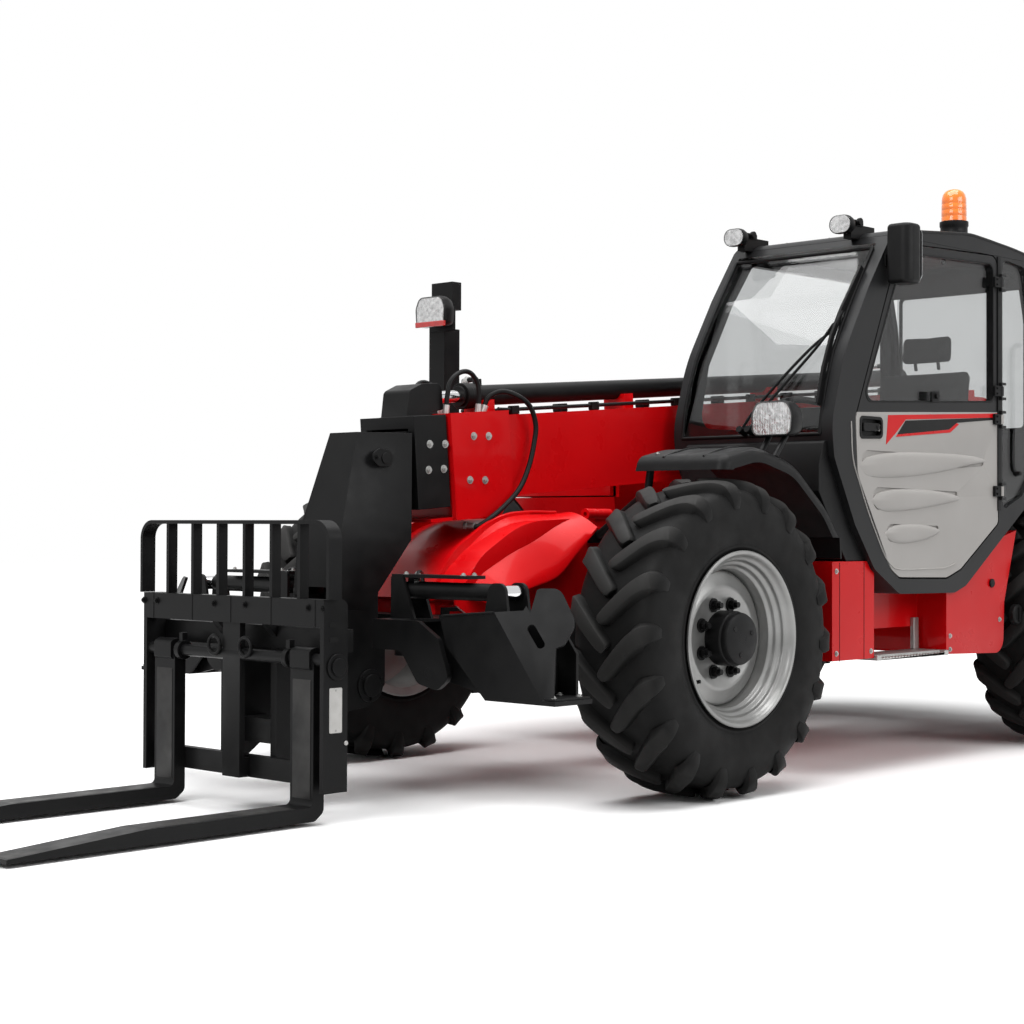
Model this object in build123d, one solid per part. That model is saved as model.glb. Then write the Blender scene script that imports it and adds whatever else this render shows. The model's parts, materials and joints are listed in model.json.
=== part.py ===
"""Telehandler with a fork carriage: chassis, cab, telescopic boom, stabilizers and four steered wheels.

Sizes are in mm. X runs forward from the front axle, Y to the machine's left, Z up from the ground.
move_to_row() shifts X at the end, so that the origin is under the middle of the whole machine.
"""

import math
import os

from build123d import *

# overall: the back of the cab places the rear axle, the boom's pivot and the tail
FORK_TIP_X = 2780
CAB_BACK_X = -2420
REAR_AXLE_X = CAB_BACK_X - 430
PIVOT_X = REAR_AXLE_X - 350
REAR_X = PIVOT_X - 450
# wheels: the machine is drawn round the axle line and then set down on its tyres
AXLE_Z = 615
TYRE_R = 615
TYRE_HALF_W = 200
WHEEL_Y = 940
RIM_R = 318
FLANGE_R = RIM_R + 17
KINGPIN_Y = 720
# chassis rails
RAIL_IN = 205
RAIL_T = 40
RAIL_OUT = RAIL_IN + RAIL_T
AXLE_TOP = AXLE_Z + 120
RAIL_FRONT_X = 740
RAIL_BOTTOM = 560
RAIL_TOP = 930
# boom: pivot, rest slope, sections as half width, half height, wall
SLOPE = 4.6
PIN_R = 45
OUTER = (150, 165, 10)
MIDDLE = (128, 139, 9)
INNER = (108, 113, 9)
OUTER_END = 625 - PIVOT_X
PIVOT_Z = 1302.25 + OUTER_END * math.tan(math.radians(SLOPE))
MIDDLE_END = OUTER_END + 185
INNER_END = MIDDLE_END + 55
PAD_GAP = 0.5
COLLAR_DROP = 74
TUBE_Z = 250
TUBE_R = 42.5
TUBE_ROD_R = 25
TUBE_BACK = 320
TUBE_FRONT = OUTER_END - 245
TOWER_BACK = 240
# lift cylinder: base pin and boom eye at rest
LIFT_BASE = (PIVOT_X + 250, 920)
LIFT_EYE = (PIVOT_X + 1450, 1080)
LIFT_R = 62
LIFT_ROD_R = 38
# head, tilt cylinder and coupler
TILT_PIN = (1040, 440)
TILT_TOP = (950, 1300)
TILT_EYE = (1030, 610)
TILT_R = 48
TILT_ROD_R = 28
HEAD_IN = 92
HEAD_OUT = 120
HEAD_WALL = 16
COUPLER_IN = 128
COUPLER_OUT = 162
# carriage and forks
CARRIAGE_BACK = 1470
CARRIAGE_FRONT = 1580
CARRIAGE_HALF = 525
CARRIAGE_BOTTOM = 116
CARRIAGE_TOP = 786
BACKREST_TOP = 1061
FORK_Y = CARRIAGE_HALF - 125
FORK_W = 125
FORK_T = 50
FORK_Z = 15
FORK_SHAFT = (1552, 575)
# stabilizers: hinge, cylinder base and eye as Y, Z; the leg between two X planes
LEG_PIN = (600, 515)
LEG_BASE = (330, 805)
LEG_EYE = (860, 805)
LEG_X0 = 930
LEG_X1 = 1120
LEG_CYL_X = 1010
LEG_WALL = 12
LEG_TIP = 1185
# cab
CAB_LEFT = 1050
CAB_RIGHT = 215
CAB_WALL = 40
DOOR_HINGE_X = CAB_BACK_X + 375
DOOR_HINGE_Y = 1062
COUNTERWEIGHT_TOP = 1090
# engine cowl and its lid, on the right
COWL_IN = -262
COWL_OUT = -1060
COWL_X0 = CAB_BACK_X + 370
COWL_X1 = -860
COWL_Z0 = 600
COWL_Z1 = 1180
LID_Z1 = 1420
SEAT_GAP = 0.3
GAP = 6
# tread: lugs on each half and how far their feet sink into the carcass
LUGS = 18
LUG_HALF = 27
LUG_DEEP = 45


def corners(points):
    """Rounded corners of a closed outline: (a, b) or (a, b, radius) each gives (start, middle, end)."""
    found = []
    count = len(points)
    for i, point in enumerate(points):
        here = Vector(point[0], point[1])
        radius = point[2] if len(point) > 2 else 0
        if not radius:
            found.append((here, None, here))
            continue
        back = (Vector(*points[i - 1][:2]) - here).normalized()
        ahead = (Vector(*points[(i + 1) % count][:2]) - here).normalized()
        half = math.acos(max(-1, min(1, back.dot(ahead)))) / 2
        reach = radius / math.tan(half)
        middle = here + (back + ahead).normalized() * (radius / math.sin(half) - radius)
        found.append((here + back * reach, middle, here + ahead * reach))
    for (_, _, end), (start, _, _), a, b in zip(found, found[1:] + found[:1], points, points[1:] + points[:1]):
        whole = Vector(b[0] - a[0], b[1] - a[1])
        if (start - end).dot(whole) < -1e-6:
            raise ValueError(f"rounds overlap between {a} and {b}")
    return found


def prism(points, place, way):
    """The outline's solid: place turns (a, b) into a point, way is the vector it is drawn along."""
    edges = []
    rounds = corners(points)
    for i, (start, middle, end) in enumerate(rounds):
        last = rounds[i - 1][2]
        if (start - last).length > 1e-6:
            edges.append(Edge.make_line(place(last.X, last.Y), place(start.X, start.Y)))
        if middle:
            edges.append(
                Edge.make_three_point_arc(
                    place(start.X, start.Y), place(middle.X, middle.Y), place(end.X, end.Y)
                )
            )
    return Solid.extrude(Face(Wire(edges)), Vector(*way))


def side(points, y0, y1):
    """(x, z) outline between two Y planes."""
    return prism(points, lambda a, b: Vector(a, y0, b), (0, y1 - y0, 0))


def front(points, x0, x1):
    """(y, z) outline between two X planes."""
    return prism(points, lambda a, b: Vector(x0, a, b), (x1 - x0, 0, 0))


def plan(points, z0, z1):
    """(x, y) outline between two Z planes."""
    return prism(points, lambda a, b: Vector(a, b, z0), (0, 0, z1 - z0))


def block(x0, x1, y0, y1, z0, z1):
    return Solid.extrude(
        Face(Wire.make_polygon([Vector(x0, y0, z0), Vector(x1, y0, z0), Vector(x1, y1, z0), Vector(x0, y1, z0)])),
        Vector(0, 0, z1 - z0),
    )


def bar(start, end, radius):
    """Round bar between two points."""
    start, end = Vector(*start), Vector(*end)
    return Solid.make_cylinder(radius, (end - start).length, Plane(start, z_dir=end - start))


def across(x, z, radius, y0, y1):
    """Round bar along Y."""
    return bar((x, y0, z), (x, y1, z), radius)


def along(y, z, radius, x0, x1):
    """Round bar along X."""
    return bar((x0, y, z), (x1, y, z), radius)


def upright(x, y, radius, z0, z1):
    """Round bar along Z."""
    return bar((x, y, z0), (x, y, z1), radius)


def mirrored(shape):
    return shape.mirror(Plane.XZ)


def both(shape):
    """A piece and its mirror image on the other side."""
    return [shape, mirrored(shape)]


def fused(*shapes):
    flat = []
    for shape in shapes:
        flat.extend(shape if isinstance(shape, (list, tuple)) else [shape])
    whole = flat[0]
    return whole.fuse(*flat[1:]) if len(flat) > 1 else whole


def less(shape, *tools):
    flat = []
    for tool in tools:
        flat.extend(tool if isinstance(tool, (list, tuple)) else [tool])
    return shape.cut(*flat)


def turned(profile):
    """Solid of (radius, y) rings round the wheel's axis, which is Y."""
    edges = [
        Edge.make_line(Vector(a[0], a[1], 0), Vector(b[0], b[1], 0))
        for a, b in zip(profile, profile[1:] + profile[:1])
    ]
    return Solid.revolve(Face(Wire(edges)), 360, Axis.Y)


def on_boom(shape):
    """From the boom's own frame, x along it from its pivot, to the machine's."""
    return shape.rotate(Axis.Y, SLOPE).moved(Location((PIVOT_X, 0, PIVOT_Z)))


def from_boom(x, z):
    """A boom-frame point as the machine's (x, z)."""
    t = math.radians(SLOPE)
    return PIVOT_X + x * math.cos(t) + z * math.sin(t), PIVOT_Z - x * math.sin(t) + z * math.cos(t)


def to_boom(x, z):
    t = math.radians(SLOPE)
    x, z = x - PIVOT_X, z - PIVOT_Z
    return x * math.cos(t) - z * math.sin(t), x * math.sin(t) + z * math.cos(t)


# ---------------------------------------------------------------- chassis


def chassis_frame():
    tower = [
        (RAIL_FRONT_X, AXLE_TOP),
        (RAIL_FRONT_X, AXLE_TOP + 15),
        (620, 850),
        (480, RAIL_TOP),
        (PIVOT_X + 500, RAIL_TOP, 120),
        (PIVOT_X + 190, PIVOT_Z + 130, 120),
        (PIVOT_X - 190, PIVOT_Z + 130, 120),
        (PIVOT_X - 250, 1150),
        (PIVOT_X - 250, 640),
        (REAR_AXLE_X - 330, 640),
        (REAR_AXLE_X - 230, AXLE_TOP),
        (REAR_AXLE_X + 230, AXLE_TOP),
        (REAR_AXLE_X + 330, RAIL_BOTTOM),
        (-330, RAIL_BOTTOM),
        (-230, AXLE_TOP),
    ]
    rail = side(tower, RAIL_IN, RAIL_OUT)
    ties = [
        block(RAIL_FRONT_X - 30, RAIL_FRONT_X, -RAIL_IN, RAIL_IN, 640, 750),
        block(-500, -380, -RAIL_IN, RAIL_IN, RAIL_BOTTOM, 820),
        block(-2350, -380, -RAIL_IN, RAIL_IN, RAIL_BOTTOM, RAIL_BOTTOM + 20),
        block(-2350, -2250, -RAIL_IN, RAIL_IN, RAIL_BOTTOM, 780),
        block(PIVOT_X - 250, PIVOT_X - 215, -RAIL_IN, RAIL_IN, 640, 1150),
        across(*LIFT_BASE, 30, -RAIL_IN, RAIL_IN),
        across(PIVOT_X, PIVOT_Z, PIN_R, -RAIL_OUT - 15, RAIL_OUT + 15),
    ]
    return fused(rail, mirrored(rail), ties)


def front_nose():
    half = 352
    wall = 12
    outer = [(770, 762), (640, 925, 300), (400, 1060, 500), (80, 1075, 300), (-130, 1010)]
    inner = [(-130, 1010 - wall), (80, 1075 - wall, 290), (400, 1060 - wall, 490), (630, 915, 290), (758, 752)]
    skin = side(outer + inner, -half, half)
    cheek = side(outer + [(-130, 760), (-60, 700), (700, 700), (770, 740)], half - wall, half)
    rib = side(
        [(800, 772), (660, 948, 300), (400, 1098, 500), (230, 1098), (230, 1062), (400, 1056, 500), (640, 922, 300), (768, 760)],
        RAIL_IN,
        RAIL_IN + 20,
    )
    shelf = [block(-60, 700, y0, y1, 700, 712) for y0, y1 in ((RAIL_OUT, half), (-half, -RAIL_OUT))]
    return fused(skin, both(cheek), both(rib), shelf)


def axle(x):
    """Beam with its saddle under the rails, a yoke and two pin stubs at each end."""
    beam = block(x - 75, x + 75, -640, 640, AXLE_Z - 70, AXLE_Z + 75)
    saddle = block(x - 115, x + 115, -RAIL_OUT, RAIL_OUT, AXLE_Z + 60, AXLE_TOP)
    housing = across(x, AXLE_Z, 150, -160, 160)
    housing = housing.cut(block(x - 200, x + 200, -200, 200, AXLE_TOP, AXLE_TOP + 200))
    ram = across(x - 140, AXLE_Z + 40, 34, -330, 330)
    ram_seat = block(x - 150, x - 60, -60, 60, AXLE_Z + 5, AXLE_Z + 75)
    web = block(x - 70, x + 70, 600, 640, AXLE_Z - 150, AXLE_Z + 150)
    ears = [
        plan([(x - 70, 600), (x + 70, 600), (x + 70, KINGPIN_Y + 60, 50), (x - 70, KINGPIN_Y + 60, 50)], z0, z1)
        for z0, z1 in ((AXLE_Z + 120, AXLE_Z + 150), (AXLE_Z - 150, AXLE_Z - 120))
    ]
    stubs = [
        upright(x, KINGPIN_Y, 30, AXLE_Z + 75, AXLE_Z + 120),
        upright(x, KINGPIN_Y, 30, AXLE_Z - 120, AXLE_Z - 75),
    ]
    end = fused(web, ears, stubs)
    return fused(beam, saddle, housing, ram, ram_seat, both(end))


def knuckle(x):
    """Left knuckle: the post between the yoke's ears and the spindle that carries the wheel."""
    post = upright(x, KINGPIN_Y, 68, AXLE_Z - 114, AXLE_Z + 114)
    post = less(
        post,
        upright(x, KINGPIN_Y, 30.5, AXLE_Z + 74, AXLE_Z + 130),
        upright(x, KINGPIN_Y, 30.5, AXLE_Z - 130, AXLE_Z - 74),
    )
    flange = across(x, AXLE_Z, 105, KINGPIN_Y + 72, WHEEL_Y - 60)
    neck = across(x, AXLE_Z, 60, KINGPIN_Y, WHEEL_Y + 40)
    return fused(post, neck, flange)


def ring_loft(levels, sides):
    """Faceted ring: (radius, y) levels joined by flats, a corner at the lowest point."""
    rings = []
    for radius, y in levels:
        turns = [math.radians(-90 + 360 * i / sides) for i in range(sides)]
        rings.append(Wire.make_polygon([Vector(radius * math.cos(t), y, radius * math.sin(t)) for t in turns]))
    return Solid.make_loft(rings, True)


def carcass():
    """Tyre under its lugs, in as many flats as it has lugs."""
    wall = [(FLANGE_R + 8, 170), (470, TYRE_HALF_W - 3), (TYRE_R - 40, 150)]
    skin = ring_loft([(r, -y) for r, y in wall] + [(r, y) for r, y in wall[::-1]], 2 * LUGS)
    bead = (RIM_R + SEAT_GAP) / math.cos(math.pi / (2 * LUGS))
    return less(skin, ring_loft([(bead, -TYRE_HALF_W), (bead, TYRE_HALF_W)], 2 * LUGS))


# lug of the left half: distance from the middle plane, lead in degrees, radius and half width of its crown, tilt of
# its height from the radius towards the side
LUG_STATIONS = [
    (-12, -1.1, TYRE_R, LUG_HALF - 5, 0),
    (160, 13.2, TYRE_R - 12, LUG_HALF + 5, 24),
    (TYRE_HALF_W, 15.2, TYRE_R - 84, LUG_HALF - 2, 70),
]


def lug():
    """Lug from its nose on the middle plane to its foot on the sidewall, a corner of its crown at the lowest point."""
    _, lead, radius, half, _ = LUG_STATIONS[0]
    first = -math.pi / 2 - math.radians(lead) - half / radius
    rings = []
    for y, lead, radius, half, tilt in LUG_STATIONS:
        tilt = math.radians(tilt)
        depth = LUG_DEEP * (1 - 0.5 * math.sin(tilt))
        foot = (radius - depth * math.cos(tilt), y - depth * math.sin(tilt))
        ring = []
        for r, where, spread, way in ((radius, y, half, 1), (*foot, half + 10, -1)):
            for sign in (-way, way):
                t = first + math.radians(lead) + sign * spread / radius
                level = r * math.cos(half / radius) / math.cos(spread / radius)
                ring.append(Vector(level * math.cos(t), where, level * math.sin(t)))
        rings.append(Wire.make_polygon(ring))
    return Solid.make_loft(rings, True)


def wheel_tyre():
    """Tyre with two rows of lugs that meet in turn at its middle, as a V that points down in front."""
    pitch = 360 / LUGS
    left = lug()
    right = mirrored(left).rotate(Axis.Y, pitch / 2)
    rows = [one.rotate(Axis.Y, i * pitch) for one in (left, right) for i in range(LUGS)]
    return fused(carcass(), rows).solids()[0]


def wheel_rim():
    """Stepped rim barrel, dished disc and planetary hub, bored for the spindle."""
    return turned(
        [
            (60.5, -50),
            (130, -50),
            (130, 62),
            (225, 56),
            (RIM_R - 62, 40),
            (RIM_R - 22, 24),
            (RIM_R - 22, -188),
            (FLANGE_R, -188),
            (FLANGE_R, -171),
            (RIM_R, -171),
            (RIM_R, 171),
            (FLANGE_R, 177),
            (FLANGE_R, 192),
            (RIM_R + 2, 194),
            (RIM_R - 12, 166),
            (RIM_R - 20, 148),
            (RIM_R - 34, 136),
            (RIM_R - 38, 122),
            (RIM_R - 52, 112),
            (RIM_R - 56, 74),
            (RIM_R - 82, 74),
            (196, 91),
            (105, 86),
            (105, 172),
            (98, 183),
            (86, 188),
            (0, 188),
            (0, 44),
            (60.5, 44),
        ]
    )


def wheel(x, part):
    return part().moved(Location((x, WHEEL_Y, AXLE_Z)))


def counterweight():
    body = plan(
        [
            (PIVOT_X - 250 - SEAT_GAP, 420, 20),
            (PIVOT_X - 250 - SEAT_GAP, -420, 20),
            (REAR_X + 40, -740, 20),
            (REAR_X, -700, 40),
            (REAR_X, 700, 40),
            (REAR_X + 40, 740, 20),
        ],
        560,
        COUNTERWEIGHT_TOP,
    )
    throat = block(REAR_X - 10, REAR_X + 90, -80, 80, 550, COUNTERWEIGHT_TOP + 10)
    jaws = [
        plan([(REAR_X + 95, -70), (REAR_X, -70, 40), (REAR_X, 70, 40), (REAR_X + 95, 70)], z0, z1)
        for z0, z1 in ((660, 685), (580, 605))
    ]
    jaws = [less(j, upright(REAR_X + 45, 0, 16, 500, 800)) for j in jaws]
    return fused(less(body, throat), jaws)


def engine_block():
    return block(COWL_X0 + 250, COWL_X1 - 200, -980, -380, 680, 1240)


LID_HINGE = (COWL_IN - 8, LID_Z1 - 6)
LID_HINGE_X = (COWL_X0 + 150, COWL_X1 - 180)


def lid_hinge_fixed():
    y, z = LID_HINGE
    found = []
    for x in LID_HINGE_X:
        found.append(along(y, z, 7, x - 40, x + 40))
        found += [block(x0, x1, y - 4, y + 8, z - 40, z + 6) for x0, x1 in ((x - 44, x - 30), (x + 30, x + 44))]
    return found


def lid_hinge_moving():
    y, z = LID_HINGE
    return [fused(along(y, z, 12, x - 24, x + 24), block(x - 24, x + 24, y - 26, y, z - 10, z + 6)) for x in LID_HINGE_X]


def engine_cowl():
    """Open-topped tub round the engine, its inner wall raised to carry the lid."""
    outer = [(COWL_X0, COWL_Z0 + 120), (COWL_X0, COWL_Z1), (COWL_X1, COWL_Z1), (COWL_X1 - 60, COWL_Z0), (COWL_X0 + 180, COWL_Z0)]
    shell = side(outer, COWL_OUT, COWL_IN)
    room = side(
        [(COWL_X0 + 30, COWL_Z0 + 140), (COWL_X0 + 30, COWL_Z1 + 10), (COWL_X1 - 34, COWL_Z1 + 10), (COWL_X1 - 90, COWL_Z0 + 30), (COWL_X0 + 190, COWL_Z0 + 30)],
        COWL_OUT + 30,
        COWL_IN - 20,
    )
    feet = [block(x, x + 100, COWL_IN, -RAIL_OUT, 640, 760) for x in (COWL_X0 + 150, COWL_X1 - 240)]
    mounts = [block(x, x + 100, -800, -560, 620, 680 - SEAT_GAP) for x in (COWL_X0 + 290, COWL_X1 - 340)]
    wall = block(COWL_X0 + 30, COWL_X1 - 34, COWL_IN - 20, COWL_IN, COWL_Z1 - 10, LID_Z1 - 30)
    louvres = [
        block(COWL_X0 + 260, COWL_X1 - 260, COWL_OUT - 5, COWL_OUT + 35, z, z + 14)
        for z in range(COWL_Z0 + 240, COWL_Z1 - 80, 42)
    ]
    return fused(less(shell, room, louvres), feet, mounts, wall, lid_hinge_fixed())


def engine_lid():
    """Hood over the engine, open towards the boom and hinged along the top of the cowl's inner wall."""
    edge = COWL_IN - 26
    outer = [
        (COWL_OUT, COWL_Z1 + GAP),
        (COWL_OUT, LID_Z1 - 150, 60),
        (COWL_OUT + 180, LID_Z1, 120),
        (edge, LID_Z1),
        (edge, COWL_Z1 + GAP),
    ]
    inner = [
        (COWL_OUT + 24, COWL_Z1 - 10),
        (COWL_OUT + 24, LID_Z1 - 158, 50),
        (COWL_OUT + 190, LID_Z1 - 24, 110),
        (COWL_IN + 10, LID_Z1 - 24),
        (COWL_IN + 10, COWL_Z1 - 10),
    ]
    hood = less(front(outer, COWL_X0, COWL_X1), front(inner, COWL_X0 + 24, COWL_X1 - 24))
    return less(fused(hood, lid_hinge_moving()), along(*LID_HINGE, 7.5, COWL_X0 - 50, COWL_X1 + 50))


def exhaust_pipe():
    pipe = upright(COWL_X0 - 70, -430, 50, 720, 1520)
    clamps = [block(COWL_X0 - 70, COWL_X0 - SEAT_GAP, -455, -405, z, z + 40) for z in (800, 1060)]
    return less(fused(pipe, clamps), upright(COWL_X0 - 70, -430, 44, 1000, 1600))


def side_boxes():
    """Red boxes under the cab: front box, sill over the step, rear plate."""
    y0, y1 = RAIL_OUT, 1030
    front_box = side([(FRONT_BOX_X, 870), (FRONT_BOX_X, 489), (STEP_FRONT, 489), (STEP_FRONT, 900), (FRONT_BOX_X, 900)], y0, y1)
    gusset = side([(STEP_FRONT, 489), (STEP_FRONT, 610), (STEP_FRONT - 170, 610), (STEP_FRONT - 60, 489)], 862, 880)
    gusset = less(gusset, across(STEP_FRONT - 64, 560, 22, 850, 950))
    sill = side([(STEP_FRONT, 800), (STEP_FRONT, 600), (STEP_BACK, 600), (STEP_BACK, 800)], y0, 880)
    rear_box = side(
        [(STEP_BACK, 900), (STEP_BACK, 480, 10), (REAR_BOX_X, 465, 70), (REAR_BOX_X - 10, 700), (REAR_BOX_X - 120, 1030)],
        y0,
        y1,
    )
    boxes = fused(front_box, gusset, sill, rear_box)
    return less(boxes, side(grown(CAB_SIDE, SEAT_GAP), CAB_RIGHT - 50, CAB_LEFT + 50))


STEP_FRONT = -1045
STEP_BACK = CAB_BACK_X + 800
STEP_TOOTH = 24
REAR_BOX_X = REAR_AXLE_X + TYRE_R + 120
FRONT_BOX_X = -TYRE_R - 120


def cab_step():
    """Step with teeth along both its edges, hung from the sill."""
    x0, x1 = STEP_BACK + 4, STEP_FRONT - 4
    y0, y1 = 880 + SEAT_GAP, 1045
    tread = block(x0, x1, y0, y1, 478, 500)
    count = int((x1 - x0 - 40) // STEP_TOOTH)
    first = (x0 + x1 - count * STEP_TOOTH) / 2
    teeth = [
        side([(x, 501), (x, 492), (x + STEP_TOOTH / 2, 484), (x + STEP_TOOTH, 492), (x + STEP_TOOTH, 501)], y1 - 30, y1 + 1)
        for x in (first + i * STEP_TOOTH for i in range(count))
    ]
    hanger = [block(a, b, y0, 900, 500, 640) for a, b in ((x0 + 14, x0 + 54), (x1 - 120, x1 - 80))]
    return fused(less(tread, fused(teeth)), hanger)


CAB_SIDE = [
    (-722, 1330, 60),
    (-702, 1470, 300),
    (-790, 1760, 700),
    (-975, 2060, 700),
    (-1160, 2318, 90),
    (CAB_BACK_X + 620, 2372, 900),
    (CAB_BACK_X + 90, 2330, 110),
    (CAB_BACK_X, 2000, 500),
    (CAB_BACK_X, 1262, 60),
    (CAB_BACK_X + 114, 1150, 60),
    (CAB_BACK_X + 667, 782, 80),
    (CAB_BACK_X + 761, 753, 60),
    (-1210, 757, 80),
    (-1018, 866, 60),
    (-872, 1054, 100),
]
CAB_ROOM = [
    (-765, 1335, 40),
    (-750, 1470, 260),
    (-832, 1748, 660),
    (-1015, 2040, 660),
    (-1182, 2272, 60),
    (CAB_BACK_X + 620, 2322, 860),
    (CAB_BACK_X + 122, 2285, 80),
    (CAB_BACK_X + 40, 2000, 470),
    (CAB_BACK_X + 40, 1280, 40),
    (CAB_BACK_X + 130, 1192, 50),
    (CAB_BACK_X + 678, 826, 60),
    (CAB_BACK_X + 765, 797, 40),
    (-1216, 800, 60),
    (-1046, 898, 50),
    (-908, 1068, 80),
]
DOOR_LINE = [
    (-878, 1500, 40),
    (-893, 1264, 120),
    (-1143, 865, 90),
    (-1210, 829, 60),
    (CAB_BACK_X + 829, 822, 60),
    (CAB_BACK_X + 713, 858, 60),
    (DOOR_HINGE_X + 12, 1064, 30),
    (DOOR_HINGE_X + 12, 2290, 60),
    (-1215, 2262, 90),
]
DOOR_GAP = 7
DOOR_HINGE_Z = (1210, 1540, 1670, 2170)
DOOR_SPLIT = ((-864, 1523), (DOOR_HINGE_X + 12, 1574))


def grown(points, by):
    """The outline with every straight side moved out by a distance, for a shape wound counter-clockwise or not."""
    area = sum(a[0] * b[1] - b[0] * a[1] for a, b in zip(points, points[1:] + points[:1]))
    sign = 1 if area > 0 else -1
    result = []
    count = len(points)
    for i, point in enumerate(points):
        before, after = points[i - 1], points[(i + 1) % count]
        lines = []
        for a, b in ((before, point), (point, after)):
            length = math.hypot(b[0] - a[0], b[1] - a[1])
            nx, ny = sign * (b[1] - a[1]) / length, -sign * (b[0] - a[0]) / length
            lines.append((a[0] + nx * by, a[1] + ny * by, (b[0] - a[0]) / length, (b[1] - a[1]) / length))
        (x1, y1, dx1, dy1), (x2, y2, dx2, dy2) = lines
        cross = dx1 * dy2 - dy1 * dx2
        if abs(cross) < 1e-6:
            moved = (x2, y2)
        else:
            t = ((x2 - x1) * dy2 - (y2 - y1) * dx2) / cross
            moved = (x1 + t * dx1, y1 + t * dy1)
        radius = point[2] if len(point) > 2 else 0
        outward = 1 if cross * sign > 0 else -1
        result.append((*moved, max(radius + outward * by, 0) if radius else 0))
    return result


WINDSCREEN = (CAB_RIGHT + 45, CAB_LEFT - 60, 1420, 2262)
REAR_WINDOW = (CAB_RIGHT + 60, CAB_LEFT - 60, 1500, 2200)
RIGHT_WINDOW = [
    (-840, 1480, 60),
    (-905, 1760),
    (-1075, 2040),
    (-1230, 2240, 60),
    (CAB_BACK_X + 130, 2240, 60),
    (CAB_BACK_X + 80, 1980),
    (CAB_BACK_X + 80, 1480, 60),
]
QUARTER = [
    (DOOR_HINGE_X - 30, 1120, 30),
    (DOOR_HINGE_X - 30, 2285, 40),
    (CAB_BACK_X + 130, 2262, 60),
    (CAB_BACK_X + 70, 2000),
    (CAB_BACK_X + 70, 1290, 40),
    (CAB_BACK_X + 170, 1190, 40),
]


def cab_frame():
    shell = less(side(CAB_SIDE, CAB_RIGHT, CAB_LEFT), side(CAB_ROOM, CAB_RIGHT + CAB_WALL, CAB_LEFT - CAB_WALL))
    y0, y1, z0, z1 = WINDSCREEN
    front_hole = block(-1300, -600, y0, y1, z0, z1)
    ry0, ry1, rz0, rz1 = REAR_WINDOW
    holes = [
        front_hole,
        block(CAB_BACK_X - 80, CAB_BACK_X + 90, ry0, ry1, rz0, rz1),
        side(RIGHT_WINDOW, CAB_RIGHT - 10, CAB_RIGHT + CAB_WALL + 10),
        side(QUARTER, CAB_LEFT - CAB_WALL - 10, CAB_LEFT + 10),
        side(grown(DOOR_LINE, DOOR_GAP), CAB_LEFT - CAB_WALL - 10, CAB_LEFT + 10),
    ]
    shell = less(shell, holes)
    roof_cut = side(ROOF_LINE, CAB_RIGHT - 10, CAB_LEFT + 10)
    rail_cut = block(CAB_BACK_X - 180, -500, 0, RAIL_OUT + SEAT_GAP, 500, RAIL_TOP + SEAT_GAP)
    x, y = DOOR_HINGE_X, DOOR_HINGE_Y
    hinges = [upright(x, y, 6, z - 36, z + 36) for z in DOOR_HINGE_Z]
    hinges += [
        block(x - 28, x + 8, CAB_LEFT - 5, y + 8, z + s, z + s + 12)
        for z in DOOR_HINGE_Z
        for s in (-40, 28)
    ]
    return fused(less(shell, roof_cut, rail_cut), hinges)


ROOF_LINE = [(-1120, 2292), (-1150, 2500), (CAB_BACK_X, 2500), (CAB_BACK_X, 2292)]


def cab_roof():
    cap = side(CAB_SIDE, CAB_RIGHT, CAB_LEFT)
    cap = cap.intersect(block(CAB_BACK_X - 30, -1060, CAB_RIGHT, CAB_LEFT, 2292 + SEAT_GAP, 2500))
    return cap.solids()[0]


def cab_glass():
    """Windscreen, rear, right and quarter panes, each set in the middle of its wall."""
    band = less(side(grown(CAB_SIDE, -16), CAB_RIGHT, CAB_LEFT), side(grown(CAB_SIDE, -22), CAB_RIGHT - 5, CAB_LEFT + 5))
    y0, y1, z0, z1 = WINDSCREEN
    inset = SEAT_GAP
    screen = band.intersect(block(-1300, -600, y0 + inset, y1 - inset, z0 + inset, z1 - inset))
    ry0, ry1, rz0, rz1 = REAR_WINDOW
    rear = block(CAB_BACK_X + 14, CAB_BACK_X + 20, ry0 + inset, ry1 - inset, rz0 + inset, rz1 - inset)
    right = side(grown(RIGHT_WINDOW, -inset), CAB_RIGHT + 16, CAB_RIGHT + 22)
    quarter = side(grown(QUARTER, -inset), CAB_LEFT - 22, CAB_LEFT - 16)
    return [*screen.solids(), rear, right, quarter]


def seat():
    x = CAB_BACK_X + 460
    pedestal = side([(x + 320, 790), (x, 790), (x, 1130), (x + 320, 1130)], 470, 830)
    pedestal = pedestal.intersect(side(grown(CAB_ROOM, -SEAT_GAP), 400, 900))
    cushion = side([(x + 480, 1130, 40), (x + 480, 1240, 50), (x, 1215, 30), (x, 1130)], 400, 900)
    back = side([(x + 30, 1190), (x + 60, 1260, 30), (x - 50, 1800, 50), (x - 150, 1800, 50), (x - 100, 1190)], 400, 900)
    head = side([(x - 60, 1812, 30), (x - 80, 1960, 40), (x - 160, 1960, 40), (x - 145, 1812, 30)], 520, 780)
    post = [block(x - 115, x - 100, y, y + 15, 1790, 1830) for y in (580, 705)]
    return fused(pedestal, cushion, back, head, post)


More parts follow.
